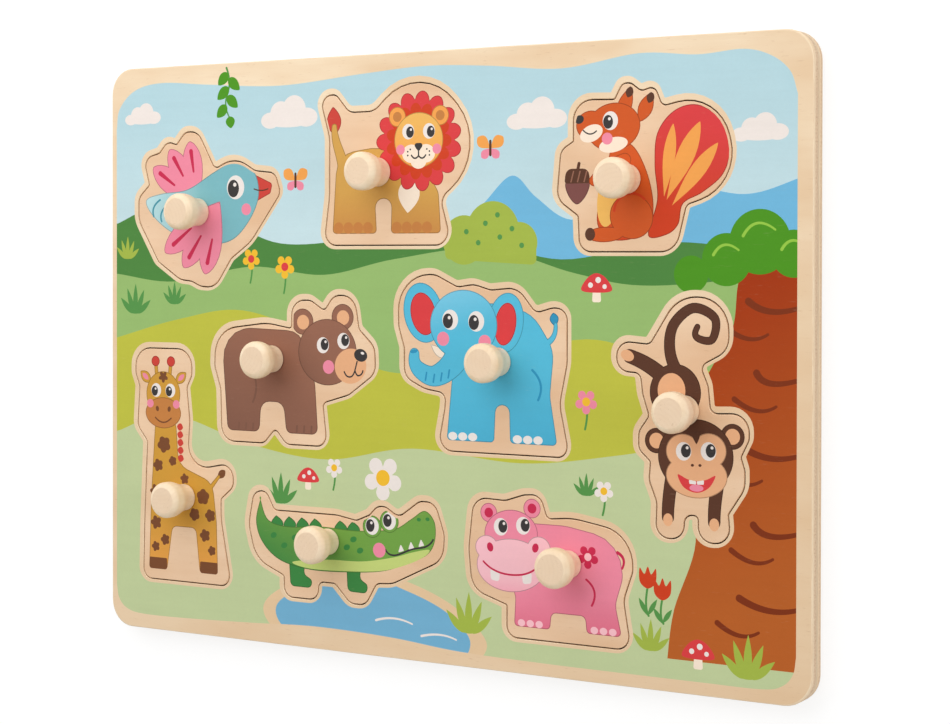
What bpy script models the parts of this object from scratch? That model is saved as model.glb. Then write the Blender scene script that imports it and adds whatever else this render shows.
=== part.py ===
"""A wooden peg puzzle: nine sawn animals with turned knobs, seated in a cut-out panel on a base sheet.

The board lies flat: +X runs along its long side, +Y towards the top of the picture and +Z out of
its face. The origin is on the underside, at the board's middle. Lengths are in metres, and the
corners of the sawn outlines are in millimetres.
"""

import math
from dataclasses import dataclass

import bmesh
import bpy
from mathutils import Vector

# Board
BOARD_WIDTH = 0.300
BOARD_DEPTH = 0.225
BOARD_CORNER = 0.010
BASE_THICKNESS = 0.0030
PANEL_THICKNESS = 0.0047
EDGE_EASE = 0.0004

# Room between pieces: a glue line or a seat, and the saw's cut round each animal
GAP = 0.0003
SAW_CUT = 0.0005

# Turned knob
KNOB_HEIGHT = 0.0140
KNOB_FOOT_DIAMETER = 0.0104
KNOB_HEAD_DIAMETER = 0.0142
KNOB_FACE_DIAMETER = 0.0102
KNOB_NECK_HEIGHT = 0.0098
KNOB_NECK_LAG = 1.4
KNOB_RIM_HEIGHT = 0.0022

# Countersunk wood screw that holds the knob from beneath
SCREW_DIAMETER = 0.0030
SCREW_HEAD_DIAMETER = 0.0062
SCREW_HEAD_HEIGHT = 0.0019
SCREW_HEAD_RIM = 0.0003
SCREW_POINT = 0.0025
SCREW_BITE = 0.0080
SCREW_SINK = 0.0002

# Fineness of round stretches, and the share of an edge that the arcs at its two ends may take
ARC_STEP = math.radians(20)
ARC_SHARE = 0.95
KNOB_SIDES = 20
SCREW_SIDES = 12
SMOOTH_BELOW = math.radians(35)

# Length of one unit of the outlines below
OUTLINE_UNIT = 0.001


@dataclass(frozen=True)
class Animal:
    """One sawn animal.

    across and up place its knob, as shares of the board's width and depth from the middle, so
    that the layout spreads with the board. corners are (x, y, radius) about the knob: the
    outline is straight between corners, and each corner is rounded to its radius.
    """

    name: str
    across: float
    up: float
    colour: tuple
    corners: tuple


ANIMALS = (
    Animal("bird", -0.353, 0.242, (0.16, 0.50, 0.58), (
        (-6.5, 31.5, 4), (-0.5, 31.5, 6), (8, 16.5, 2.5), (18, 21, 12), (27.5, 15.5, 6),
        (37, 14.5, 4), (39.5, 7, 3.5), (25.5, -11.5, 20), (16, -18, 5), (8, -29.5, 7),
        (1, -29, 6), (-3.5, -27, 8), (-9, -26.5, 8), (-20, -19.5, 5), (-30, -3, 10),
        (-30, 6, 5), (-24.5, 11, 1.5), (-27.5, 21.5, 4), (-19.5, 23.5, 3), (-15.5, 28, 3.5),
        (-11, 26.5, 1.5),
    )),
    Animal("lion", -0.070, 0.304, (0.66, 0.39, 0.14), (
        (-24.5, -27, 4.5), (-22, -8.5, 30), (-22, 13.5, 15), (-26.5, 29, 4.5), (-19.5, 29.5, 4),
        (-13.5, 22.5, 5), (-2, 22.5, 8), (18.5, 41.5, 22.5), (48.5, 7, 22.5), (26.5, -10, 6),
        (31.5, -27, 5),
    )),
    Animal("squirrel", 0.273, 0.284, (0.75, 0.13, 0.03), (
        (-21, 28, 7), (-5, 27.5, 1.5), (-2, 33, 2.5), (1, 33, 3), (5, 30, 3), (10, 31.5, 2.5),
        (13, 24.5, 2.5), (34, 29, 16.5), (42, -2.5, 17), (22, -9, 3), (18, -25, 7),
        (-18.5, -25, 4.5), (-19, -12.5, 2), (-27.5, -6.5, 6), (-26, 10.5, 4.5), (-21, 13.5, 1),
    )),
    Animal("bear", -0.232, -0.011, (0.25, 0.12, 0.08), (
        (-24.5, -32.5, 6), (-25, -12.5, 10), (-28, -3.5, 6), (-27.5, 10.5, 11), (-3, 13.5, 25),
        (9, 11.5, 1.5), (9, 22.5, 5.5), (17.5, 22.5, 5), (24, 18.5, 2), (28.5, 24.5, 5),
        (37.5, 24.5, 6.5), (39.5, 12, 4), (46.5, 5.5, 6), (47, -4, 6), (35, -12.5, 8),
        (23, -16, 2.5), (25, -32.5, 4), (6.5, -32.5, 4), (1, -26.5, 2), (-4.5, -32.5, 4),
    )),
    Animal("elephant", 0.102, -0.004, (0.04, 0.42, 0.68), (
        (-43, 31, 13), (-42.5, 12, 6), (-40, 4, 6), (-40, -6.5, 5.5), (-31.5, -10.5, 12),
        (-22, -12, 3.5), (-22.5, -18, 10), (-25.5, -33, 5), (27.5, -33, 4.5), (27.5, -28.5, 8),
        (24.5, -14.5, 14), (27.5, 0, 15), (27.5, 19, 4.5), (22, 19.5, 8), (15, 17.5, 3.5),
        (7.5, 26.5, 8), (-3.5, 25.5, 6), (-10.5, 27.5, 8), (-17.5, 26.5, 5), (-27, 31, 8),
    )),
    Animal("monkey", 0.347, -0.069, (0.11, 0.04, 0.03), (
        (15.5, 38.5, 11), (15.5, 21, 7), (5, 15.5, 3), (8, 8.5, 6), (9, -1, 3), (23, -0.5, 6),
        (23, -9, 4), (20, -15, 2), (21.5, -19.5, 5), (21.5, -25.5, 8), (15.5, -34.5, 1.5),
        (16.5, -44.5, 5.5), (5, -44.5, 5.5), (5, -35.5, 2), (-0.5, -35.5, 3), (-1, -44, 5),
        (-11, -44, 5), (-10.5, -32, 8), (-13.5, -24.5, 6), (-13, -18, 1.5), (-17.5, -14, 4),
        (-17.5, -8, 5), (-13.5, -2.5, 2.5), (-16, 5, 10), (-17, 12.5, 3), (-26, 13, 4.5),
        (-26, 23, 4.5), (-13.5, 22, 3), (-3, 38.5, 12),
    )),
    Animal("giraffe", -0.375, -0.260, (0.72, 0.37, 0.04), (
        (-25, 58.5, 7), (3, 58.5, 7), (3, 48.5, 4), (0.5, 43.5, 4), (2, 30.5, 15), (0.5, 10, 9),
        (23.5, 14.5, 5), (23.5, 5.5, 4), (17.5, 0.5, 2), (17.5, -7.5, 30), (22.5, -33.5, 4),
        (-21, -33.5, 4), (-20.5, -11.5, 20), (-19, 21.5, 4), (-24, 27.5, 5), (-23, 43.5, 4),
        (-25, 48.5, 4),
    )),
    Animal("crocodile", -0.145, -0.316, (0.13, 0.36, 0.07), (
        (-35, 17, 4), (-37.5, 4, 12), (-34, -9, 12), (-20.5, -14.5, 2), (-20.5, -22.5, 4),
        (-5, -22.5, 4), (-5, -15.5, 2.5), (3, -15.5, 3), (10, -22.5, 5), (16.5, -22.5, 4.5),
        (21.5, -14, 3), (28.5, -13.5, 10), (50.5, -3, 8), (51, 6, 8), (47, 17.5, 5),
        (40.5, 17.5, 5), (31.5, 11, 4), (25.5, 14.5, 4), (22, 14.5, 4), (18.5, 11, 3),
        (12.5, 8.5, 3), (3.5, 10, 20), (-25.5, 10, 3), (-29.5, 17, 3.5),
    )),
    Animal("hippo", 0.198, -0.318, (0.85, 0.16, 0.32), (
        (-39, 21, 5.5), (-26, 20.5, 8), (-18.5, 23, 8), (-12, 23.5, 4.5), (-9, 15, 2.5),
        (1, 16, 30), (25, 12, 13), (24.5, -1, 6), (21, -11, 10), (24, -28, 4.5), (-25, -28, 4),
        (-25, -16.5, 1), (-39.5, -12, 8), (-41, 2.5, 20),
    )),
)


def rounded_ring(corners, grow):
    """Points of a closed outline whose edges are moved outward by grow, anticlockwise.

    Each corner becomes an arc that touches both its edges. Its radius grows with an outer corner
    and shrinks with an inner one, so that rings of one outline run parallel, point for point.
    """
    points = [Vector((x, y)) for x, y, _ in corners]
    radii = [radius for _, _, radius in corners]
    if sum(a.x * b.y - b.x * a.y for a, b in zip(points, points[1:] + points[:1])) < 0:
        points.reverse()
        radii.reverse()
    count = len(points)
    ahead = [(points[(i + 1) % count] - points[i]).normalized() for i in range(count)]
    turns = [math.atan2(ahead[i - 1].cross(ahead[i]), ahead[i - 1].dot(ahead[i])) for i in range(count)]
    moved = []
    for i, point in enumerate(points):
        out_before = Vector((ahead[i - 1].y, -ahead[i - 1].x))
        out_after = Vector((ahead[i].y, -ahead[i].x))
        moved.append(point + (out_before + out_after) * grow / (1 + out_before.dot(out_after)))
    radii = [max(radius + math.copysign(grow, turn), SAW_CUT / 2) for radius, turn in zip(radii, turns)]
    reach = [radius * math.tan(abs(turn) / 2) for radius, turn in zip(radii, turns)]
    share = [1.0] * count
    for i in range(count):
        after = (i + 1) % count
        room = ARC_SHARE * (moved[after] - moved[i]).length / max(reach[i] + reach[after], GAP)
        share[i] = min(share[i], room)
        share[after] = min(share[after], room)
    ring = []
    for i, turn in enumerate(turns):
        ring += corner_arc(moved[i], ahead[i - 1], turn, radii[i] * share[i])
    return ring


def corner_arc(corner, heading, turn, radius):
    """Points along the arc that rounds one corner, reached along heading and left after turn."""
    start = corner - heading * radius * math.tan(abs(turn) / 2)
    to_centre = Vector((-heading.y, heading.x)) * math.copysign(radius, turn)
    steps = max(1, math.ceil(abs(turn) / ARC_STEP))
    arc = []
    for k in range(steps + 1):
        angle = turn * k / steps
        spoke = Vector((
            to_centre.x * math.cos(angle) - to_centre.y * math.sin(angle),
            to_centre.x * math.sin(angle) + to_centre.y * math.cos(angle),
        ))
        arc.append(start + to_centre - spoke)
    return arc


def circle_ring(radius, sides):
    """Points of a circle about the axis."""
    angles = [2 * math.pi * k / sides for k in range(sides)]
    return [Vector((radius * math.cos(angle), radius * math.sin(angle))) for angle in angles]


def lift(ring, height, centre=(0, 0)):
    """A flat ring of points, set at a height and round a centre."""
    return [Vector((point.x + centre[0], point.y + centre[1], height)) for point in ring]


def plate(name, walls, scene_material):
    """A flat plate bounded by walls: the outer wall first, then one wall for each hole.

    A wall is a list of rings from the underside to the top, with as many points in each.
    """
    bm = bmesh.new()
    caps = []
    for rings in walls:
        loops = [[bm.verts.new(point) for point in ring] for ring in rings]
        count = len(loops[0])
        for lower, upper in zip(loops, loops[1:]):
            for k in range(count):
                after = (k + 1) % count
                bm.faces.new((lower[k], lower[after], upper[after], upper[k]))
        caps.append((loops[0], loops[-1]))
    for level in (0, 1):
        edges = []
        for loops in caps:
            loop = loops[level]
            edges += [bm.edges.get((loop[k - 1], loop[k])) for k in range(len(loop))]
        bmesh.ops.triangle_fill(bm, use_beauty=True, edges=edges, normal=(0, 0, 1))
    return finish(name, bm, scene_material)


def turned(name, profile, sides, scene_material):
    """A solid turned about Z from a profile of (radius, height), which starts and ends on the axis."""
    bm = bmesh.new()
    loops = []
    for radius, height in profile:
        if radius == 0:
            loops.append([bm.verts.new((0, 0, height))] * sides)
        else:
            loops.append([bm.verts.new(point) for point in lift(circle_ring(radius, sides), height)])
    for lower, upper in zip(loops, loops[1:]):
        for k in range(sides):
            after = (k + 1) % sides
            corners = dict.fromkeys((lower[k], lower[after], upper[after], upper[k]))
            bm.faces.new(tuple(corners))
    return finish(name, bm, scene_material)


def finish(name, bm, scene_material):
    """Turn a built shape into a mesh with outward faces, shaded smooth over its round stretches."""
    bmesh.ops.recalc_face_normals(bm, faces=bm.faces)
    mesh = bpy.data.meshes.new(name)
    bm.to_mesh(mesh)
    bm.free()
    mesh.shade_smooth()
    mesh.set_sharp_from_angle(angle=SMOOTH_BELOW)
    mesh.materials.append(scene_material)
    return mesh


def material(name, colour, roughness, metallic=0.0):
    """A plain surface in one colour."""
    made = bpy.data.materials.new(name)
    made.use_nodes = True
    shader = made.node_tree.nodes["Principled BSDF"]
    shader.inputs["Base Color"].default_value = (*colour, 1.0)
    shader.inputs["Roughness"].default_value = roughness
    shader.inputs["Metallic"].default_value = metallic
    return made


def place(name, mesh, location, parent=None):
    """Put a mesh into the scene as a named object."""
    thing = bpy.data.objects.new(name, mesh)
    thing.location = location
    thing.parent = parent
    bpy.context.collection.objects.link(thing)
    return thing


def board_corners():
    """The four round corners of the board, in metres."""
    half_width = BOARD_WIDTH / 2
    half_depth = BOARD_DEPTH / 2
    signs = ((-1, -1), (1, -1), (1, 1), (-1, 1))
    return [(x * half_width, y * half_depth, BOARD_CORNER) for x, y in signs]


def animal_corners(animal):
    """The corners of an animal's outline about its knob, in metres."""
    return [tuple(value * OUTLINE_UNIT for value in corner) for corner in animal.corners]


def knob_centre(animal):
    """Where an animal's knob stands on the board."""
    return (animal.across * BOARD_WIDTH, animal.up * BOARD_DEPTH)


def base_mesh():
    """The thin sheet that closes the cut-outs from beneath."""
    corners = board_corners()
    wall = [
        lift(rounded_ring(corners, -EDGE_EASE), 0),
        lift(rounded_ring(corners, 0), EDGE_EASE),
        lift(rounded_ring(corners, 0), BASE_THICKNESS),
    ]
    return plate("base_sheet", [wall], material("base plywood", (0.72, 0.52, 0.32), 0.6))


def panel_mesh():
    """The board's upper layer, with one cut-out for each animal, its edges eased at the top."""
    corners = board_corners()
    shoulder = PANEL_THICKNESS - EDGE_EASE
    walls = [[
        lift(rounded_ring(corners, 0), 0),
        lift(rounded_ring(corners, 0), shoulder),
        lift(rounded_ring(corners, -EDGE_EASE), PANEL_THICKNESS),
    ]]
    for animal in ANIMALS:
        outline = animal_corners(animal)
        centre = knob_centre(animal)
        walls.append([
            lift(rounded_ring(outline, SAW_CUT), 0, centre),
            lift(rounded_ring(outline, SAW_CUT), shoulder, centre),
            lift(rounded_ring(outline, SAW_CUT + EDGE_EASE), PANEL_THICKNESS, centre),
        ])
    return plate("recess_panel", walls, material("printed plywood", (0.36, 0.55, 0.30), 0.45))


def piece_mesh(animal):
    """A sawn animal as thick as the panel, with a countersunk hole for its knob's screw."""
    outline = animal_corners(animal)
    outer = [
        lift(rounded_ring(outline, 0), 0),
        lift(rounded_ring(outline, 0), PANEL_THICKNESS - EDGE_EASE),
        lift(rounded_ring(outline, -EDGE_EASE), PANEL_THICKNESS),
    ]
    pocket = circle_ring(SCREW_HEAD_DIAMETER / 2 + GAP, SCREW_SIDES)
    shank = circle_ring(SCREW_DIAMETER / 2 + GAP, SCREW_SIDES)
    pocket_top = SCREW_SINK + SCREW_HEAD_RIM + GAP
    hole = [
        lift(pocket, 0),
        lift(pocket, pocket_top),
        lift(shank, pocket_top + SCREW_HEAD_HEIGHT - SCREW_HEAD_RIM),
        lift(shank, PANEL_THICKNESS),
    ]
    paint = material(animal.name + " print", animal.colour, 0.45)
    return plate(animal.name + "_piece", [outer, hole], paint)


def knob_profile():
    """The knob from its screw hole out round the foot, up the hollow neck and over the head.

    The neck flares as half a cosine wave, and the lag above 1 holds it near the foot's width
    for the first stretch.
    """
    foot = KNOB_FOOT_DIAMETER / 2
    head = KNOB_HEAD_DIAMETER / 2
    face = KNOB_FACE_DIAMETER / 2
    hole = SCREW_DIAMETER / 2 + GAP
    hole_top = SCREW_BITE + GAP
    profile = [(0, hole_top), (hole, hole_top), (hole, 0), (foot - EDGE_EASE, 0), (foot, EDGE_EASE)]
    neck_steps = 3
    for k in range(1, neck_steps + 1):
        way = k / neck_steps
        flare = (1 - math.cos(math.pi * way ** KNOB_NECK_LAG)) / 2
        profile.append((foot + (head - foot) * flare, EDGE_EASE + (KNOB_NECK_HEIGHT - EDGE_EASE) * way))
    rim_foot = KNOB_HEIGHT - KNOB_RIM_HEIGHT
    profile.append((head, rim_foot))
    rim_steps = 3
    for k in range(1, rim_steps + 1):
        angle = math.pi / 2 * k / rim_steps
        radius = face + (head - face) * math.cos(angle)
        profile.append((radius, rim_foot + KNOB_RIM_HEIGHT * math.sin(angle)))
    return profile + [(0, KNOB_HEIGHT)]


def screw_profile():
    """The screw from its flat head up the countersunk cone and the shank to the point."""
    head = SCREW_HEAD_DIAMETER / 2
    shank = SCREW_DIAMETER / 2
    length = PANEL_THICKNESS - SCREW_SINK + GAP + SCREW_BITE
    return [
        (0, 0), (head, 0), (head, SCREW_HEAD_RIM), (shank, SCREW_HEAD_HEIGHT),
        (shank, length - SCREW_POINT), (0, length),
    ]


def clear_scene():
    """Remove whatever the scene holds."""
    for thing in list(bpy.data.objects):
        bpy.data.objects.remove(thing, do_unlink=True)


def build():
    """Build the board, and each animal with its knob and screw on its own lifting axis."""
    clear_scene()
    panel_bottom = BASE_THICKNESS + GAP
    place("base_sheet", base_mesh(), (0, 0, 0))
    place("recess_panel", panel_mesh(), (0, 0, panel_bottom))
    pale_wood = material("turned pale wood", (0.82, 0.62, 0.40), 0.5)
    zinc = material("zinc plated steel", (0.62, 0.62, 0.60), 0.35, 1.0)
    knob = turned("knob", knob_profile(), KNOB_SIDES, pale_wood)
    screw = turned("screw", screw_profile(), SCREW_SIDES, zinc)
    for animal in ANIMALS:
        axis = place(animal.name + "_lift_axis", None, (*knob_centre(animal), panel_bottom))
        place(animal.name + "_piece", piece_mesh(animal), (0, 0, 0), axis)
        place(animal.name + "_knob", knob, (0, 0, PANEL_THICKNESS + GAP), axis)
        place(animal.name + "_screw", screw, (0, 0, SCREW_SINK), axis)


build()
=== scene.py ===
"""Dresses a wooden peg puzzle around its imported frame.

A printed plywood panel with nine cut-outs lies on a base sheet. A sawn and printed animal sits in
each cut-out, with a turned knob held by a countersunk screw. The board lies flat: X runs along its
long side, Y towards the top of the picture and Z out of its face. Plan shapes are in millimetres,
and the finished meshes are in metres.
"""

import logging
import math
from collections.abc import Callable
from dataclasses import dataclass, field
from enum import Enum

import bmesh
import bpy
import numpy as np
from mathutils import Matrix, Vector
from mathutils.geometry import delaunay_2d_cdt


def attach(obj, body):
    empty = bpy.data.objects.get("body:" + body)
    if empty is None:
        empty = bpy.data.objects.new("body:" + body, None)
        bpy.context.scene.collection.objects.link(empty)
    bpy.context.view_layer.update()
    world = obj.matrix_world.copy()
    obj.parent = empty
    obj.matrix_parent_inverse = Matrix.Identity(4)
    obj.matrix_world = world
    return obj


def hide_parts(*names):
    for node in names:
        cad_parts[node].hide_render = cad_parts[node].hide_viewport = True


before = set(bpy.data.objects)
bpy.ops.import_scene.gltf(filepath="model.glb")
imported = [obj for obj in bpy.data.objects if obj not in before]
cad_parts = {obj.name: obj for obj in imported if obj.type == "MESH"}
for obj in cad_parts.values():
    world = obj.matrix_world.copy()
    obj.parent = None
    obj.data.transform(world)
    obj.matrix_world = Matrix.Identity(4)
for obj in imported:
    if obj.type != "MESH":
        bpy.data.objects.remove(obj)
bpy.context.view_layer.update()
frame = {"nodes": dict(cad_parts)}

Array = np.ndarray
Point = tuple[float, float]
Triple = tuple[float, float, float]
Colour = tuple[int, int, int]
Piece = bpy.types.Object
Material = bpy.types.Material
Socket = bpy.types.NodeSocket
Number = Socket | float

LOG = logging.getLogger("peg_puzzle")
MM = 0.001

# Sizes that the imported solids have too, in millimetres
BOARD_WIDTH = 300.0
BOARD_DEPTH = 225.0
BOARD_CORNER = 10.0
BASE_THICKNESS = 3.0
PANEL_THICKNESS = 4.7
EDGE_EASE = 0.4
GAP = 0.3
SAW_CUT = 0.5
PANEL_BOTTOM = BASE_THICKNESS + GAP
PANEL_TOP = PANEL_BOTTOM + PANEL_THICKNESS

# Softer edge of a saw cut, bare wood left beside it on the panel and on the animal, bare wood left
# along the board's edge, half the printed sheet, and how far the print sits off the cuts
CUT_EASE = 0.2
PANEL_MARGIN = 1.5
PIECE_MARGIN = 0.7
FRAME_MARGIN = 1.0
SHEET_X, SHEET_Y = 149.0, 111.0
PRINT_SHIFT = (-0.2, 0.5)

# Heights where two plies meet, the share of painted shade that darkens the panel's bare wood towards
# its lower edge, and the animals' paler and deeper wood
BASE_PLIES = (0.8, 2.2)
PANEL_PLIES = (PANEL_BOTTOM + 1.2, PANEL_BOTTOM + 3.5)
PANEL_LOW_SHADE = 0.42
ANIMAL_WOOD = ((242, 209, 176), (230, 190, 153))

# Fineness: points for a corner of a sawn or a printed outline, for a stretch of each curve, a line's
# end, a leaf and a lobe, and fewest and most for an oval
ARC_POINTS = 9
BLOCK_POINTS = 5
BLOB_STEPS = 7
STROKE_STEPS = 8
WAVE_STEPS = 9
END_POINTS = 9
LEAF_POINTS = 15
LOBE_POINTS = 10
OVAL_POINTS = (16, 56)

# The share of an edge that its two corners' arcs may fill, steps of a rounded edge, faces round a
# knob, how near two points are one, and how near the screw's face a point is on it
ARC_SHARE = 0.95
EASE_STEPS = 4
FINE_SIDES = 72
MERGE = 0.001
TOUCH = 0.01

# How far the figure in the wood turns and rises from one piece to the next, and the sharpest edge
# that is shaded smooth, in degrees
SEED_TURN = 137.5
SEED_RISE = 40.0
SHARP_ANGLE = 18.0

# Printed outlines: their width, and the share of light that they leave of the ink's own
LINE = 0.3
LINE_SHADE = 0.55


class Tint(Enum):
    """Inks and bare colours, as eight-bit screen colours."""

    SKY = (181, 214, 223)
    SKY_PALE = (200, 225, 231)
    CLOUD = (240, 230, 224)
    MOUNTAIN = (112, 184, 222)
    HILL = (76, 134, 62)
    FIELD = (152, 188, 112)
    MEADOW = (192, 193, 67)
    LAWN = (194, 208, 158)
    WATER = (116, 178, 212)
    SAND = (232, 200, 160)
    ROCK = (164, 52, 0)
    ROCK_DARK = (126, 48, 14)
    ROCK_PALE = (186, 96, 36)
    BUSH = (74, 148, 24)
    BUSH_PALE = (150, 200, 70)
    LEAF = (84, 148, 74)
    LIME = (164, 184, 72)
    WHITE = (239, 231, 226)
    DARK = (56, 54, 55)
    CREAM = (250, 232, 212)
    BLUSH = (240, 140, 165)
    TEAL = (122, 184, 194)
    TEAL_PALE = (188, 224, 228)
    TEAL_DARK = (70, 150, 168)
    PINK = (240, 139, 163)
    ROSE = (202, 40, 80)
    BEAK = (206, 66, 56)
    TAN = (213, 163, 80)
    TAN_DARK = (198, 128, 66)
    RED = (220, 62, 66)
    ORANGE = (244, 164, 80)
    AMBER = (240, 186, 96)
    RUST = (208, 62, 26)
    FOX = (209, 88, 32)
    NUT = (126, 76, 72)
    UMBER = (90, 54, 38)
    BROWN = (150, 102, 82)
    BROWN_DARK = (126, 86, 70)
    PEACH = (234, 176, 132)
    BLUE = (84, 188, 220)
    BLUE_DARK = (46, 148, 190)
    BLUE_PALE = (138, 208, 234)
    YELLOW = (208, 154, 58)
    PATCH = (122, 74, 44)
    CROC = (113, 162, 70)
    CROC_DARK = (58, 134, 66)
    CROC_PALE = (198, 214, 124)
    PINK_PALE = (251, 194, 203)
    GOLD = (244, 190, 48)


Fade = tuple[Tint, Point, Point]


def linear(colour: tuple[int, ...]) -> tuple[float, float, float, float]:
    """Turns an eight-bit screen colour into linear light.

    Formula: a share of up to 0.04045 becomes share / 12.92, and one above it becomes
    ((share + 0.055) / 1.055)^2.4.

    Args:
        colour: red, green and blue from 0 to 255.

    Returns:
        Linear red, green and blue, with full alpha.
    """
    share = np.array(colour, float) / 255.0
    light = np.where(share <= 0.04045, share / 12.92, ((share + 0.055) / 1.055) ** 2.4)
    return (*light.tolist(), 1.0)


# Plan shapes

def turned_by(points: Array, angle: float) -> Array:
    """Turns plan points, one a row, anticlockwise about the origin by an angle in degrees."""
    cos, sin = math.cos(math.radians(angle)), math.sin(math.radians(angle))
    return points @ np.array(((cos, sin), (-sin, cos)))


def oval(x: float, y: float, wide: float, tall: float, turn: float = 0.0) -> Array:
    """An ellipse: (wide cos t, tall sin t), turned and moved.

    Args:
        x, y: its middle.
        wide, tall: half its width and height.
        turn: anticlockwise, in degrees.

    Returns:
        Its points, anticlockwise.
    """
    steps = max(OVAL_POINTS[0], min(OVAL_POINTS[1], int(10 * math.sqrt(wide + tall))))
    t = np.arange(steps) * 2 * math.pi / steps
    return turned_by(np.column_stack((wide * np.cos(t), tall * np.sin(t))), turn) + (x, y)


def dot(x: float, y: float, radius: float) -> Array:
    """A circle about (x, y)."""
    return oval(x, y, radius, radius)


def spline(points: Array, steps: int) -> Array:
    """Points along a smooth curve through the inner knots.

    Formula: between knots b and c, with neighbours a and d, the point at t is half of
    2b + (c - a) t + (2a - 5b + 4c - d) t^2 + (3b - a - 3c + d) t^3.

    Args:
        points: the knots, one more at each end than the curve passes through.
        steps: points for each stretch.

    Returns:
        The curve's points, without its last knot.
    """
    a, b, c, d = (points[k:len(points) - 3 + k, None] for k in range(4))
    t = (np.arange(steps) / steps)[None, :, None]
    curve = 2 * b + (c - a) * t + (2 * a - 5 * b + 4 * c - d) * t**2 + (3 * b - a - 3 * c + d) * t**3
    return (curve / 2).reshape(-1, 2)


def blob(*knots: Point) -> Array:
    """A closed smooth curve through the knots."""
    points = np.array(knots, float)
    return spline(np.concatenate((points[-1:], points, points[:2])), BLOB_STEPS)


def block(*corners: Triple) -> Array:
    """A closed outline of straight edges whose corners are rounded, from (x, y, radius) corners."""
    return Outline(corners).ring(0.0, BLOCK_POINTS)


def stroke(*knots: Point, width: float, end: float | None = None) -> Array:
    """A line with round ends, drawn along a smooth curve.

    Formula: each point of the curve moves half a width along its normal, to the left going out
    and to the right coming back, and a half circle closes each end.

    Args:
        knots: points that the line passes through.
        width: its width at the start.
        end: its width at the end, the same where none is given.

    Returns:
        The line's outline.
    """
    points = np.array(knots, float)
    if len(points) > 2:
        before, after = 3 * (points[0] - points[1]) + points[2], 3 * (points[-1] - points[-2]) + points[-3]
    else:
        before, after = 2 * points[0] - points[1], 2 * points[1] - points[0]
    path = np.concatenate((spline(np.concatenate(([before], points, [after])), STROKE_STEPS), points[-1:]))
    ahead = np.gradient(path, axis=0)
    ahead /= np.linalg.norm(ahead, axis=1, keepdims=True)
    left = np.column_stack((-ahead[:, 1], ahead[:, 0]))
    half = np.linspace(width, width if end is None else end, len(path))[:, None] / 2
    t = np.linspace(0, math.pi, END_POINTS)[1:-1, None]
    far = path[-1] + half[-1] * (left[-1] * np.cos(t) + ahead[-1] * np.sin(t))
    near = path[0] - half[0] * (left[0] * np.cos(t) + ahead[0] * np.sin(t))
    return np.concatenate((path + left * half, far, (path - left * half)[::-1], near))


def leaf(x: float, y: float, tip_x: float, tip_y: float, width: float,
         lean: float = 1.0, blunt: float = 1.0) -> Array:
    """A leaf, petal or feather from its root to its tip.

    Formula: at share t of the way its half width is width / 2 times sin(pi t^lean)^blunt.

    Args:
        x, y: the root.
        tip_x, tip_y: the tip.
        width: the greatest width.
        lean: above 1 the broad part lies nearer the tip, below 1 nearer the root.
        blunt: below 1 rounds both ends.

    Returns:
        Its outline.
    """
    t = (1 - np.cos(np.linspace(0, math.pi, LEAF_POINTS))) / 2
    half = width / 2 * np.abs(np.sin(math.pi * t**lean)) ** blunt
    length = math.hypot(tip_x - x, tip_y - y)
    outline = np.concatenate((
        np.column_stack((t * length, half)),
        np.column_stack((t * length, -half))[-2:0:-1],
    ))
    return turned_by(outline, math.degrees(math.atan2(tip_y - y, tip_x - x))) + (x, y)


def rosette(x: float, y: float, inner: float, outer: float, lobes: int, turn: float = 0.0,
            round_off: float = 0.7) -> Array:
    """A ring of round lobes, such as petals or a mane.

    Formula: the radius is inner + (outer - inner) times |sin(lobes t / 2)|^round_off.

    Args:
        x, y: its middle.
        inner, outer: radius between lobes and at their tips.
        lobes: how many.
        turn: anticlockwise, in degrees.
        round_off: lower makes the lobes broader.

    Returns:
        Its outline.
    """
    count = lobes * LOBE_POINTS
    t = np.arange(count) * 2 * math.pi / count
    radius = inner + (outer - inner) * np.abs(np.sin(lobes * t / 2)) ** round_off
    return turned_by(np.column_stack((radius * np.cos(t), radius * np.sin(t))), turn) + (x, y)


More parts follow.
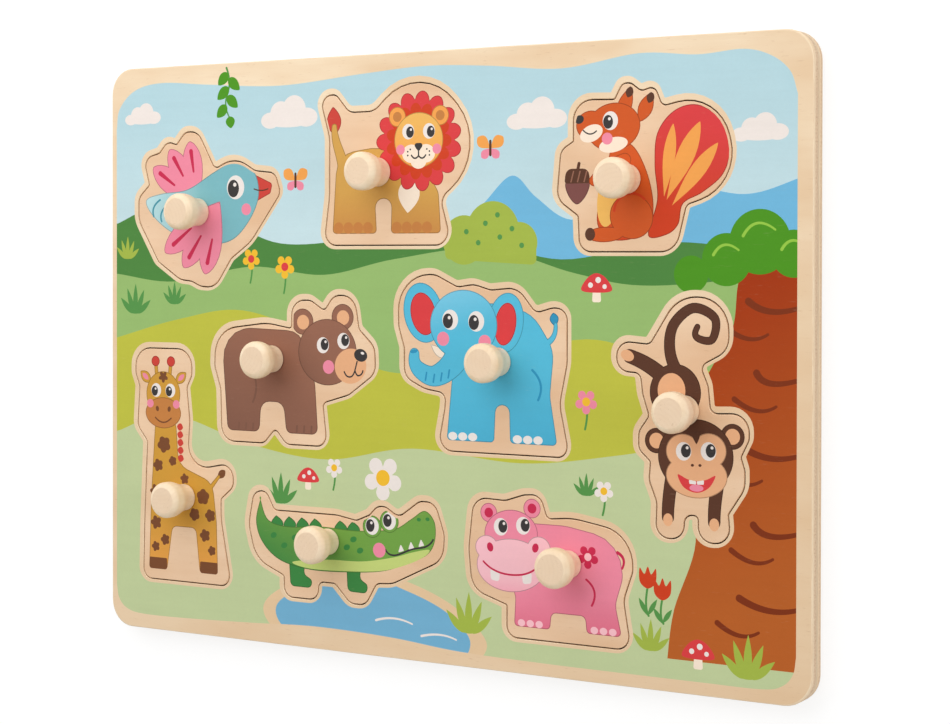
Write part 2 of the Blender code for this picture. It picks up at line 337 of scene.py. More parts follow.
@dataclass(frozen=True)
class Outline:
    """A closed outline of straight edges and rounded corners.

    corners holds (x, y, radius) in order round the outline, about centre.
    """

    corners: tuple[Triple, ...]
    centre: Point = (0.0, 0.0)

    def ring(self, grow: float = 0.0, steps: int = ARC_POINTS) -> Array:
        """Points of the outline moved outward by grow.

        Formula: with n and m the outward normals of a corner's two edges, the corner moves by
        (n + m) grow / (1 + n.m). Its arc touches both edges; the radius grows by grow at an outer
        corner and shrinks by it at an inner one, and is cut where two arcs would meet. The arc's
        points are its centre minus the arm to its start, turned through shares of the corner's turn.

        Args:
            grow: how far outward.
            steps: points for each corner.

        Returns:
            The points, anticlockwise, as many for every value of grow.
        """
        table = np.array(self.corners, float)
        after = np.roll(table, -1, 0)
        if np.sum(table[:, 0] * after[:, 1] - after[:, 0] * table[:, 1]) < 0:
            table = table[::-1]
        points = table[:, :2]
        leave = np.roll(points, -1, 0) - points
        leave /= np.linalg.norm(leave, axis=1, keepdims=True)
        reach_in = np.roll(leave, 1, 0)
        cross = reach_in[:, 0] * leave[:, 1] - reach_in[:, 1] * leave[:, 0]
        along = np.sum(reach_in * leave, 1)
        turn = np.arctan2(cross, along)
        outward = np.column_stack((reach_in[:, 1] + leave[:, 1], -reach_in[:, 0] - leave[:, 0]))
        moved = points + outward * (grow / (1 + along))[:, None]
        radius = np.maximum(table[:, 2] + np.copysign(grow, turn), SAW_CUT / 2)
        tangent = radius * np.tan(np.abs(turn) / 2)
        edge = np.linalg.norm(np.roll(moved, -1, 0) - moved, axis=1)
        room = ARC_SHARE * edge / np.maximum(tangent + np.roll(tangent, -1), GAP)
        share = np.minimum(1.0, np.minimum(room, np.roll(room, 1)))
        start = moved - reach_in * (tangent * share)[:, None]
        arm = np.column_stack((-reach_in[:, 1], reach_in[:, 0]))
        arm *= np.copysign(radius * share, turn)[:, None]
        angle = turn[:, None] * np.linspace(0, 1, steps)
        cos, sin = np.cos(angle), np.sin(angle)
        spoke_x = arm[:, :1] * cos - arm[:, 1:] * sin
        spoke_y = arm[:, :1] * sin + arm[:, 1:] * cos
        ring = (start + arm)[:, None] - np.stack((spoke_x, spoke_y), -1)
        return ring.reshape(-1, 2) + self.centre


def shrunk(ring: Array, depth: float) -> Array:
    """A finely divided ring moved inward.

    Formula: each point moves by depth along the normal of the line between its two neighbours.

    Args:
        ring: the outline's points.
        depth: how far.

    Returns:
        The moved points.
    """
    after = np.roll(ring, -1, 0)
    winding = math.copysign(1, np.sum(ring[:, 0] * after[:, 1] - after[:, 0] * ring[:, 1]))
    ahead = after - np.roll(ring, 1, 0)
    ahead /= np.maximum(np.linalg.norm(ahead, axis=1, keepdims=True), MERGE)
    return ring + depth * winding * np.column_stack((-ahead[:, 1], ahead[:, 0]))


@dataclass
class Ink:
    """One printed area, in one colour or fading from one to another.

    fade holds the second colour and the two points between which the first turns into it. shade
    scales the light that the ink gives back. over_frame lets the area run over the bare border.
    """

    tint: Tint
    ring: Array
    fade: Fade | None = None
    shade: float = 1.0
    over_frame: bool = False

    def colours(self, points: Array) -> Array:
        """Linear colours of the ink at plan points.

        Args:
            points: an array whose last axis is (x, y).

        Returns:
            An array whose last axis is red, green, blue and cover.
        """
        scale = np.array((self.shade, self.shade, self.shade, 1.0))
        first = np.array(linear(self.tint.value)) * scale
        if self.fade is None:
            return np.broadcast_to(first, (*points.shape[:-1], 4))
        second, begin, end = self.fade
        way = np.array(end, float) - begin
        share = np.clip((points - begin) @ way / (way @ way), 0, 1)[..., None]
        return first + (np.array(linear(second.value)) * scale - first) * share


@dataclass
class Picture:
    """Inks in the order in which they are printed."""

    inks: list[Ink] = field(default_factory=list)

    def lay(self, tint: Tint, *rings: Array, fade: Fade | None = None, shade: float = 1.0,
            over_frame: bool = False) -> None:
        """Prints areas over what is there, with fade, shade and over_frame as in Ink."""
        self.inks += [Ink(tint, ring, fade, shade, over_frame) for ring in rings]

    def edged(self, tint: Tint, *rings: Array, fade: Fade | None = None) -> None:
        """Prints areas with one darker line round all of them together."""
        self.lay(tint, *rings, fade=fade, shade=LINE_SHADE)
        self.lay(tint, *(shrunk(ring, LINE) for ring in rings), fade=fade)

    def eyes(self, size: float, *places: Point, look: Point = (-0.28, -0.12)) -> None:
        """Prints oval eyes.

        Args:
            size: radius of the white.
            places: their middles.
            look: where the pupils sit, as shares of size.
        """
        for x, y in places:
            pupil = (x + size * look[0], y + size * look[1])
            self.lay(Tint.WHITE, oval(x, y, size * 0.96, size * 1.06))
            self.lay(Tint.DARK, oval(*pupil, size * 0.62, size * 0.78))
            self.lay(Tint.WHITE, dot(pupil[0] + size * 0.16, pupil[1] + size * 0.34, size * 0.18))

    def moved(self, shift: Point) -> "Picture":
        """Moves the picture a little off its place.

        Args:
            shift: how far, in x and y.

        Returns:
            The picture.
        """
        for ink in self.inks:
            ink.ring = ink.ring + shift
        return self


# Meshes

def triangulate(points: Array, edges: Array) -> tuple[Array, Array]:
    """Fills the plane with triangles that cross no edge, as corner points and corner numbers."""
    found = delaunay_2d_cdt([Vector(p) for p in points.tolist()], edges.tolist(), [], 0, MERGE / 10)
    return np.array([p.to_tuple() for p in found[0]]), np.array(found[2])


def loop_edges(rings: list[Array]) -> tuple[Array, Array]:
    """Joins closed rings into one list of points, with the edges round each ring.

    Args:
        rings: the points of each ring.

    Returns:
        All the points, and the edges as pairs of point numbers.
    """
    starts = np.cumsum([0] + [len(ring) for ring in rings[:-1]])
    edges = [np.column_stack((np.arange(len(ring)), np.roll(np.arange(len(ring)), -1))) + start
             for ring, start in zip(rings, starts)]
    return np.concatenate(rings), np.concatenate(edges)


def inside(ring: Array, spots: Array) -> Array:
    """Tells which spots lie inside a ring.

    Formula: a spot is inside where a line from it to the right crosses the ring an odd number of
    times. Only the spots in the ring's own box are tried.

    Args:
        ring: the outline's points.
        spots: plan points, one a row.

    Returns:
        True or False for each spot.
    """
    result = np.zeros(len(spots), bool)
    near = np.flatnonzero(np.all((spots > ring.min(0)) & (spots < ring.max(0)), axis=1))
    x, y = spots[near, 0, None], spots[near, 1, None]
    a, b = ring, np.roll(ring, -1, 0)
    rise = np.where(a[:, 1] == b[:, 1], 1.0, b[:, 1] - a[:, 1])
    spans = (a[:, 1] > y) != (b[:, 1] > y)
    crossings = spans & (x < a[:, 0] + (b[:, 0] - a[:, 0]) * (y - a[:, 1]) / rise)
    result[near] = crossings.sum(1) % 2 == 1
    return result


def within(outer: Array, holes: list[Array], spots: Array) -> Array:
    """Tells which spots lie inside an outline and outside its holes.

    Args:
        outer: the outline's points.
        holes: the points of each hole.
        spots: plan points, one a row.

    Returns:
        True or False for each spot.
    """
    kept = inside(outer, spots)
    for hole in holes:
        kept &= ~inside(hole, spots)
    return kept


def open_edges(triangles: Array) -> Array:
    """The edges that only one triangle has.

    Args:
        triangles: point numbers, one triangle a row.

    Returns:
        Pairs of point numbers.
    """
    edges = np.sort(np.concatenate((triangles[:, :2], triangles[:, 1:], triangles[:, ::2])), axis=1)
    unique, counts = np.unique(edges, axis=0, return_counts=True)
    return unique[counts == 1]


@dataclass
class PrintedFace:
    """A flat face: a printed area with its own outline and holes, and bare wood round it."""

    outer: Array
    holes: list[Array]
    print_outer: Array
    print_holes: list[Array]
    picture: Picture
    frame: Array | None = None

    def triangles(self) -> tuple[Array, Array]:
        """Divides the face into triangles and gives each corner its ink.

        Returns:
            Corners as an array of triangles by three by (x, y), and colours to match.
        """
        rings = [self.print_outer, *self.print_holes, *(ink.ring for ink in self.picture.inks)]
        if self.frame is not None:
            rings.append(self.frame)
        points, faces = triangulate(*loop_edges(rings))
        kept = within(self.print_outer, self.print_holes, points[faces].mean(1))
        faces = faces[kept]
        printed = points[faces]
        colours = self.coloured(printed)
        bare = self.border(points, open_edges(faces))
        blank = np.zeros((*bare.shape[:2], 4))
        return np.concatenate((printed, bare)), np.concatenate((colours, blank))

    def coloured(self, corners: Array) -> Array:
        """Prints the inks in order over triangles.

        Args:
            corners: triangles by three by (x, y).

        Returns:
            Red, green, blue and cover for each corner.
        """
        spots = corners.mean(1)
        colours = np.zeros((*corners.shape[:2], 4))
        framed = np.ones(len(spots), bool) if self.frame is None else inside(self.frame, spots)
        for ink in self.picture.inks:
            hit = inside(ink.ring, spots)
            if not ink.over_frame:
                hit &= framed
            colours[hit] = ink.colours(corners[hit])
        return colours

    def border(self, points: Array, print_edges: Array) -> Array:
        """Triangles of the bare wood between the printed area and the face's own edges.

        Args:
            points: the printed area's corners.
            print_edges: the edges round it.

        Returns:
            Triangles by three by (x, y).
        """
        ring_points, ring_edges = loop_edges([self.outer, *self.holes])
        all_points = np.concatenate((ring_points, points))
        corners, faces = triangulate(all_points, np.concatenate((ring_edges, print_edges + len(ring_points))))
        spots = corners[faces].mean(1)
        kept = within(self.outer, self.holes, spots) & ~within(self.print_outer, self.print_holes, spots)
        return corners[faces[kept]]


class Plate:
    """Gathers the walls and faces of one sheet of wood, then makes them one closed mesh."""

    def __init__(self) -> None:
        """Starts with nothing."""
        self.points: list[Array] = []
        self.faces: list[list[int]] = []
        self.inks: list[Array] = []
        self.cut: list[Array] = []
        self.smooth: list[Array] = []
        self.count = 0

    def _keep(self, points: Array, faces: Array, inks: Array, cut: float, smooth: bool) -> None:
        """Adds points and faces.

        Args:
            points: rows of x, y and height.
            faces: point numbers, one face a row.
            inks: the ink of each face's corners.
            cut: 1 where the saw cut the faces and 0 elsewhere.
            smooth: whether the faces are shaded smooth.
        """
        self.points.append(points)
        self.faces += (faces + self.count).tolist()
        self.inks.append(inks.reshape(-1, 4))
        self.cut.append(np.full(faces.size, cut))
        self.smooth.append(np.full(len(faces), smooth))
        self.count += len(points)

    def wall(self, rings: list[Array], heights: list[float], inward: bool = False) -> None:
        """Adds a wall through rings at rising heights.

        Formula: a grid of height by ring point, each cell a face.

        Args:
            rings: as many points in each.
            heights: the height of each ring.
            inward: whether the wall lines a hole.
        """
        count = len(rings[0])
        grid = np.arange(len(rings) * count).reshape(len(rings), count)
        after = np.roll(grid, -1, 1)
        faces = np.stack((grid[:-1], after[:-1], after[1:], grid[1:]), -1).reshape(-1, 4)
        if inward:
            faces = faces[:, ::-1]
        tall = np.repeat(np.array(heights, float), count)
        self._keep(
            np.column_stack((np.concatenate(rings), tall)), faces, np.zeros((faces.size, 4)), 1.0, True,
        )

    def face(self, corners: Array, inks: Array, height: float, up: bool = True) -> None:
        """Adds a flat face of triangles.

        Args:
            corners: triangles by three by (x, y).
            inks: colours to match.
            height: its height.
            up: which way it faces.
        """
        flat = corners.reshape(-1, 2)
        faces = np.arange(len(flat)).reshape(-1, 3)
        if not up:
            faces = faces[:, ::-1]
            inks = inks[:, ::-1]
        self._keep(np.column_stack((flat, np.full(len(flat), height))), faces, inks, 0.0, False)

    def plain_face(self, outer: Array, holes: list[Array], height: float, up: bool) -> None:
        """Adds a bare flat face.

        Args:
            outer: its outline.
            holes: the outlines of its holes.
            height: its height.
            up: which way it faces.
        """
        points, faces = triangulate(*loop_edges([outer, *holes]))
        corners = points[faces[within(outer, holes, points[faces].mean(1))]]
        self.face(corners, np.zeros((*corners.shape[:2], 4)), height, up)

    def object(self, name: str) -> Piece:
        """Makes the gathered faces one closed mesh, in metres.

        Args:
            name: the piece's name.

        Returns:
            The new object.
        """
        mesh = bpy.data.meshes.new(name)
        mesh.from_pydata((np.concatenate(self.points) * MM).tolist(), [], self.faces)
        ink = mesh.attributes.new("ink", "FLOAT_COLOR", "CORNER")
        ink.data.foreach_set("color", np.concatenate(self.inks).astype(np.float32).ravel())
        cut = mesh.attributes.new("cut", "FLOAT", "CORNER")
        cut.data.foreach_set("value", np.concatenate(self.cut).astype(np.float32))
        mesh.polygons.foreach_set("use_smooth", np.concatenate(self.smooth))
        join_doubles(mesh, MERGE * MM)
        return link(name, mesh)


def join_doubles(mesh: bpy.types.Mesh, reach: float) -> None:
    """Merges a mesh's points that lie close together.

    Args:
        mesh: the mesh.
        reach: how close, in metres.
    """
    shape = bmesh.new()
    shape.from_mesh(mesh)
    bmesh.ops.remove_doubles(shape, verts=shape.verts, dist=reach)
    bmesh.ops.dissolve_degenerate(shape, edges=shape.edges, dist=reach / 10)
    shape.to_mesh(mesh)
    shape.free()


def link(name: str, mesh: bpy.types.Mesh) -> Piece:
    """Puts a mesh into the scene as an object at the origin.

    Args:
        name: the object's name.
        mesh: its mesh.

    Returns:
        The object.
    """
    piece = bpy.data.objects.new(name, mesh)
    bpy.context.scene.collection.objects.link(piece)
    return piece


def eased(outline: Outline, grow: float, bottom: float, top: float, ease: float = CUT_EASE,
          inward: bool = False, both: bool = False) -> tuple[list[Array], list[float]]:
    """Rings of a sawn wall with a rounded edge at its top.

    Formula: the wall rises straight at grow, then turns over a quarter circle of the edge's
    radius: at angle a the ring stands in by ease (1 - cos a) and up by ease sin a.

    Args:
        outline: the sawn line.
        grow: how far outward the straight part stands.
        bottom, top: its heights.
        ease: radius of the edge.
        inward: whether it lines a hole, so that the edge opens outward.
        both: whether its lower edge is rounded too.

    Returns:
        The rings and their heights.
    """
    angle = np.linspace(0, math.pi / 2, EASE_STEPS + 1)
    step_in = ease * (1 - np.cos(angle)) * (-1 if inward else 1)
    rise = ease * np.sin(angle)
    grows, heights = grow - step_in, top - ease + rise
    if both:
        grows, heights = np.append(grows[::-1], grows), np.append((bottom + ease - rise)[::-1], heights)
    else:
        grows, heights = np.append(grow, grows), np.append(bottom, heights)
    return [outline.ring(g) for g in grows.tolist()], heights.tolist()


def turned(name: str, profile: Array, centre: Point, seed: int,
           sides: int = FINE_SIDES, end_rows: int = 0) -> Piece:
    """A solid turned about an upright axis.

    Formula: a grid of profile point by angle, (r cos t, r sin t, z), closed at both ends by a
    point on the axis. Each point keeps its place about the axis, shifted by the seed so that no
    two pieces have the same figure in the wood.

    Args:
        name: the piece's name.
        profile: rows of radius and height, from one end of the axis to the other.
        centre: where the axis stands.
        seed: number of the piece.
        sides: faces round the axis.
        end_rows: how many of the last profile rows make up a flat face of end grain.

    Returns:
        The new object.
    """
    t = np.arange(sides) * 2 * math.pi / sides
    ring = np.column_stack((np.cos(t), np.sin(t)))
    around = (profile[1:-1, 0, None, None] * ring).reshape(-1, 2)
    local = np.column_stack((around, np.repeat(profile[1:-1, 1], sides)))
    local = np.concatenate((local, ((0, 0, profile[0, 1]), (0, 0, profile[-1, 1]))))
    grid = np.arange((len(profile) - 2) * sides).reshape(-1, sides)
    after = np.roll(grid, -1, 1)
    quads = np.stack((grid[:-1], after[:-1], after[1:], grid[1:]), -1).reshape(-1, 4)
    first, last = len(local) - 2, len(local) - 1
    start = np.column_stack((after[0], grid[0], np.full(sides, first)))
    end = np.column_stack((grid[-1], after[-1], np.full(sides, last)))
    mesh = bpy.data.meshes.new(name)
    placed = (local + (*centre, 0)) * MM
    mesh.from_pydata(placed.tolist(), [], quads.tolist() + start.tolist() + end.tolist())
    figure = mesh.attributes.new("figure", "FLOAT_VECTOR", "POINT")
    spun = np.column_stack((turned_by(local[:, :2], SEED_TURN * seed), local[:, 2] + SEED_RISE * seed))
    figure.data.foreach_set("vector", spun.astype(np.float32).ravel())
    row = np.concatenate((np.repeat(np.arange(len(grid) - 1), sides * 4), np.zeros(sides * 3),
                          np.full(sides * 3, len(grid))))
    end_grain = mesh.attributes.new("end_grain", "FLOAT", "CORNER")
    end_grain.data.foreach_set("value", (row > len(grid) - end_rows - 1).astype(np.float32))
    mesh.polygons.foreach_set("use_smooth", np.ones(len(mesh.polygons), bool))
    mesh.set_sharp_from_angle(angle=math.radians(SHARP_ANGLE))
    return link(name, mesh)


# Finishes: how deep the wood's relief is, in metres, and the roughness of its thin coat
WOOD_RELIEF = 0.00015
COAT_ROUGHNESS = 0.35


class Graph:
    """The nodes of a material or a world, with short calls that add and join them."""

    def __init__(self, owner: bpy.types.ID) -> None:
        """Starts with no nodes.

        Args:
            owner: the material or world.
        """
        self.owner = owner
        owner.use_nodes = True
        self.tree = owner.node_tree
        self.tree.nodes.clear()

    def add(self, kind: str, inputs: dict[str | int, object], **settings: object) -> bpy.types.Node:
        """Adds a node.

        Args:
            kind: the node's type, without its prefix.
            inputs: a value or a joined socket for each named or numbered input.
            settings: the node's own options.

        Returns:
            The node.
        """
        node = self.tree.nodes.new("ShaderNode" + kind)
        for key, value in settings.items():
            setattr(node, key, value)
        for key, value in inputs.items():
            if isinstance(value, Socket):
                self.tree.links.new(value, node.inputs[key])
            else:
                node.inputs[key].default_value = value
        return node

    def math(self, operation: str, a: Number, b: Number = 0.0) -> Socket:
        """A sum on two numbers."""
        return self.add("Math", {0: a, 1: b}, operation=operation).outputs[0]

    def mix(self, share: Number, a: Socket | Colour, b: Socket | Colour) -> Socket:
        """A mix of two colours, each a joined socket or an eight-bit screen colour."""
        first, second = (linear(colour) if isinstance(colour, tuple) else colour for colour in (a, b))
        return self.add("Mix", {0: share, 6: first, 7: second}, data_type="RGBA").outputs[2]

    def noise(self, vector: Socket, stretch: Triple, detail: float = 2.0,
              rough: float = 0.5, seed: float = 0.0) -> Socket:
        """Noise whose marks are 1 / stretch long along each axis.

        Args:
            vector: the coordinates.
            stretch: marks for each unit of length.
            detail, rough: the noise's own fineness.
            seed: moves the pattern.

        Returns:
            A number from 0 to 1.
        """
        placed = self.add("Mapping", {"Vector": vector, "Location": (seed, seed, seed), "Scale": stretch})
        node = self.add("TexNoise", {"Vector": placed.outputs[0], "Scale": 1.0, "Detail": detail,
                                     "Roughness": rough})
        return node.outputs["Fac"]

    def spread(self, value: Number, low: float, high: float, to_low: float = 0.0,
               to_high: float = 1.0) -> Socket:
        """A number stretched from one range to another and held there."""
        return self.add("MapRange", {0: value, 1: low, 2: high, 3: to_low, 4: to_high}).outputs[0]

    def finish(self, shader: bpy.types.Node, output: str = "OutputMaterial") -> bpy.types.ID:
        """Joins a shader to the output and gives the material or world."""
        self.add(output, {"Surface": shader.outputs[0]}).is_active_output = True
        return self.owner

    def surface(self, relief: Socket, strength: float, depth: float, inputs: dict[str, object]) -> Material:
        """Finishes a material with one shader, its skin raised by relief over a depth in metres."""
        bump = self.add("Bump", {"Strength": strength, "Distance": depth, "Height": relief})
        return self.finish(self.add("BsdfPrincipled", {**inputs, "Normal": bump.outputs[0]}))


@dataclass(frozen=True)
class PlywoodFinish:
    """Pale plywood, bare or printed, whose plies show where it was sawn.

    plies holds the heights at which one ply ends and the next begins, in millimetres. pale and
    deep are the face veneer's lighter and darker wood. low_shade is painted shade: the share by
    which the bare veneer turns to the darker shade_colour as Y, in metres, falls through
    shade_span, for light that falls off towards the board's lower edge.
    """

    name: str
    plies: tuple[float, ...]
    pale: Colour = (245, 223, 192)
    deep: Colour = (234, 204, 168)
    core: Colour = (232, 204, 172)
    pore: Colour = (196, 154, 116)
    shade_colour: Colour = (226, 190, 150)
    shade_span: Point = (0.08, -0.02)
    low_shade: float = 0.0
    roughness: float = 0.5
    ink_cover: float = 0.995
    specular: float = 0.14
    gloss: float = 0.02

    def bare_colour(self, g: Graph, place: Socket) -> Socket:
        """The colour of the face veneer: broad soft figure, long streaks, painted shade towards the
        board's lower edge and short dark pores.

        Args:
            g: the material's nodes.
            place: the coordinates.

        Returns:
            The colour.
        """
        broad = g.noise(place, (14, 48, 48), 3, 0.55)
        streak = g.noise(place, (26, 420, 420), 4, 0.65, 3.0)
        fleck = g.noise(place, (300, 2100, 2100), 1, 0.5, 7.0)
        colour = g.mix(g.spread(broad, 0.36, 0.66), self.pale, self.deep)
        colour = g.mix(g.spread(streak, 0.5, 0.78, 0, 0.5), colour, self.deep)
        # Painted shade: the bare veneer turns darker and warmer towards the board's lower edge
        start, end = self.shade_span
        painted_shade = g.spread(g.add("SeparateXYZ", {0: place}).outputs[1], end, start, self.low_shade, 0.0)
        colour = g.mix(painted_shade, colour, self.shade_colour)
        return g.mix(g.spread(fleck, 0.68, 0.82, 0, 0.4), colour, self.pore)

    def sawn_colour(self, g: Graph, place: Socket) -> Socket:
        """The colour of a sawn edge: each second ply is end grain, darker and speckled.

        Args:
            g: the material's nodes.
            place: the coordinates.

        Returns:
            The colour.
        """
        height = g.math("MULTIPLY", g.add("SeparateXYZ", {0: place}).outputs[2], 1 / MM)
        wave = g.math("MULTIPLY", g.math("SUBTRACT", g.noise(place, (40, 40, 40), 2), 0.5), 0.12)
        height = g.math("ADD", height, wave)
        layer = 0.0
        for level in self.plies:
            layer = g.math("ADD", layer, g.math("GREATER_THAN", height, level))
        odd = g.math("PINGPONG", layer, 1.0)
        speck = g.noise(place, (1500, 1500, 1500), 2, 0.6)
        fibre = g.noise(place, (90, 90, 3600), 2, 0.6)
        end_grain = g.mix(g.spread(speck, 0.42, 0.72), self.core, self.pore)
        long_grain = g.mix(g.spread(fibre, 0.4, 0.7), self.pale, self.deep)
        return g.mix(g.math("MULTIPLY", odd, 0.8), long_grain, end_grain)

    def material(self) -> Material:
        """Builds the finish.

        Returns:
            The material.
        """
        g = Graph(bpy.data.materials.new(self.name))
        place = g.add("TexCoord", {}).outputs["Object"]
        ink = g.add("Attribute", {}, attribute_name="ink")
        cut = g.add("Attribute", {}, attribute_name="cut").outputs["Fac"]
        grain = g.noise(place, (22, 330, 330), 5, 0.7, 3.0)
        worn = g.noise(place, (60, 60, 60), 3, 0.6, 9.0)
        mottle = g.noise(place, (900, 900, 900), 2, 0.7, 5.0)
        spots = g.spread(mottle, 0.3, 0.7, -0.012, 0.012)
        shade = g.math("ADD", g.spread(grain, 0.3, 0.8, 0.016, -0.024), spots)
        shade = g.math("ADD", g.math("ADD", shade, g.spread(worn, 0.3, 0.7, -0.016, 0.016)), 1.0)
        printed = g.add("VectorMath", {0: ink.outputs["Color"], 3: shade}, operation="SCALE").outputs[0]
        fine = g.noise(place, (260, 1700, 1700), 2, 0.5, 7.0)
        thin = g.spread(fine, 0.66, 0.86, 0.0, 0.08)
        cover = g.math("MULTIPLY", ink.outputs["Alpha"], g.math("SUBTRACT", self.ink_cover, thin))
        face = g.mix(cover, self.bare_colour(g, place), printed)
        colour = g.mix(cut, face, self.sawn_colour(g, place))
        relief = g.math("ADD", grain, g.math("MULTIPLY", fine, 0.5))
        rough = g.spread(cover, 0.0, 1.0, self.roughness + 0.1, self.roughness - 0.06)
        return g.surface(relief, 0.1, WOOD_RELIEF, {
            "Base Color": colour, "Roughness": rough, "Specular IOR Level": self.specular,
            "Coat Weight": self.gloss, "Coat Roughness": COAT_ROUGHNESS,
        })


@dataclass(frozen=True)
class TurnedWoodFinish:
    """Pale sanded wood with end grain on its face and long fibres down its sides."""

    name: str = "turned pale wood"
    pale: Colour = (252, 230, 200)
    deep: Colour = (240, 211, 175)
    end: Colour = (236, 208, 178)
    mark: Colour = (196, 160, 124)
    roughness: float = 0.5
    specular: float = 0.4
    gloss: float = 0.06

    def material(self) -> Material:
        """Builds the finish.

        Returns:
            The material.
        """
        g = Graph(bpy.data.materials.new(self.name))
        place = g.add("Attribute", {}, attribute_name="figure").outputs["Vector"]
        across = g.add("Attribute", {}, attribute_name="end_grain").outputs["Fac"]
        off_axis = g.add("Mapping", {"Vector": place, "Location": (9.0, 4.0, 0.0), "Scale": (1.0, 1.0, 0.02)})
        sway = g.add("TexNoise", {"Vector": place, "Scale": 0.22}).outputs["Color"]
        bent = g.add("VectorMath", {0: off_axis.outputs[0], 1: sway}, operation="ADD")
        rings = g.add("TexWave", {"Vector": bent.outputs[0], "Scale": 0.2, "Distortion": 2.4, "Detail": 3.0},
                      wave_type="RINGS", rings_direction="Z").outputs["Fac"]
        fibre = g.noise(place, (1.6, 1.6, 0.1), 4, 0.65)
        speck = g.noise(place, (3.4, 3.4, 0.6), 3, 0.65, 4.0)
        check = g.noise(place, (0.9, 2.6, 0.3), 2, 0.5, 11.0)
        cloudy = g.noise(place, (0.2, 0.2, 0.1), 2, 0.5)
        colour = g.mix(g.spread(cloudy, 0.3, 0.7, 0, 0.8), self.pale, self.deep)
        colour = g.mix(g.math("MULTIPLY", across, 0.75), colour, self.end)
        colour = g.mix(g.spread(rings, 0.4, 1.0, 0, 0.05), colour, self.mark)
        colour = g.mix(g.spread(fibre, 0.52, 0.8, 0, 0.34), colour, self.deep)
        colour = g.mix(g.spread(speck, 0.62, 0.8, 0, 0.3), colour, self.mark)
        cracks = g.math("MULTIPLY", across, g.spread(check, 0.64, 0.78, 0, 0.45))
        colour = g.mix(cracks, colour, self.mark)
        relief = g.math("ADD", g.math("MULTIPLY", fibre, 0.7), speck)
        return g.surface(relief, 0.2, WOOD_RELIEF, {
            "Base Color": colour, "Roughness": self.roughness, "Specular IOR Level": self.specular,
            "Coat Weight": self.gloss, "Coat Roughness": COAT_ROUGHNESS,
        })


@dataclass(frozen=True)
class ZincFinish:
    """Bright plated steel with fine turning marks."""

    name: str = "zinc plated steel"
    colour: Colour = (196, 198, 200)
    dull: Colour = (150, 148, 142)
    roughness: float = 0.3
    relief: float = 0.0001

    def material(self) -> Material:
        """Builds the finish.

        Returns:
            The material.
        """
        g = Graph(bpy.data.materials.new(self.name))
        place = g.add("Attribute", {}, attribute_name="figure").outputs["Vector"]
        turning = g.noise(place, (0.6, 0.6, 14), 2, 0.6)
        grime = g.noise(place, (0.9, 0.9, 0.9), 3, 0.6)
        colour = g.mix(g.spread(grime, 0.35, 0.75, 0, 0.5), self.colour, self.dull)
        rough = g.spread(grime, 0.3, 0.7, self.roughness - 0.06, self.roughness + 0.14)
        return g.surface(turning, 0.2, self.relief, {
            "Base Color": colour, "Metallic": 1.0, "Roughness": rough,
        })


# Pieces

def board_outline() -> Outline:
    """The board's rectangle with its four round corners."""
    signs = ((-1, -1), (1, -1), (1, 1), (-1, 1))
    return Outline(tuple((x * BOARD_WIDTH / 2, y * BOARD_DEPTH / 2, BOARD_CORNER) for x, y in signs))


@dataclass(frozen=True)
class BaseSheet:
    """The thin sheet that closes the cut-outs from beneath."""

    thickness: float = BASE_THICKNESS

    def build(self, finish: Material) -> Piece:
        """Builds the sheet and dresses it.

        Args:
            finish: its plywood.

        Returns:
            The piece.
        """
        plate = Plate()
        rings, heights = eased(board_outline(), 0.0, 0.0, self.thickness, EDGE_EASE, both=True)
        plate.wall(rings, heights)
        plate.plain_face(rings[0], [], heights[0], up=False)
        plate.plain_face(rings[-1], [], heights[-1], up=True)
        piece = plate.object("base_ply")
        piece.data.materials.append(finish)
        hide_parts("base_sheet")
        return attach(piece, "board")


@dataclass(frozen=True)
class RecessPanel:
    """The printed upper layer with a cut-out for each animal."""

    margin: float = PANEL_MARGIN

    def build(self, animals: tuple["Animal", ...], finish: Material) -> Piece:
        """Builds the panel and dresses it.

        Args:
            animals: the pieces that leave cut-outs in it.
            finish: its printed plywood.

        Returns:
            The piece.
        """
        outline = board_outline()
        plate = Plate()
        rings, heights = eased(outline, 0.0, PANEL_BOTTOM, PANEL_TOP, EDGE_EASE)
        plate.wall(rings, heights)
        lows, tops, bands = [], [], []
        for animal in animals:
            hole, levels = eased(animal.outline(), SAW_CUT, PANEL_BOTTOM, PANEL_TOP, inward=True)
            plate.wall(hole, levels, inward=True)
            lows.append(hole[0])
            tops.append(hole[-1])
            bands.append(animal.outline().ring(SAW_CUT + CUT_EASE + self.margin) + PRINT_SHIFT)
        plate.plain_face(rings[0], lows, PANEL_BOTTOM, up=False)
        picture = Picture()
        draw_meadow(picture)
        top = PrintedFace(rings[-1], tops, outline.ring(-FRAME_MARGIN), bands, picture, frame_ring())
        plate.face(*top.triangles(), PANEL_TOP)
        piece = plate.object("picture_panel")
        piece.data.materials.append(finish)
        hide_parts("recess_panel")
        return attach(piece, "board")


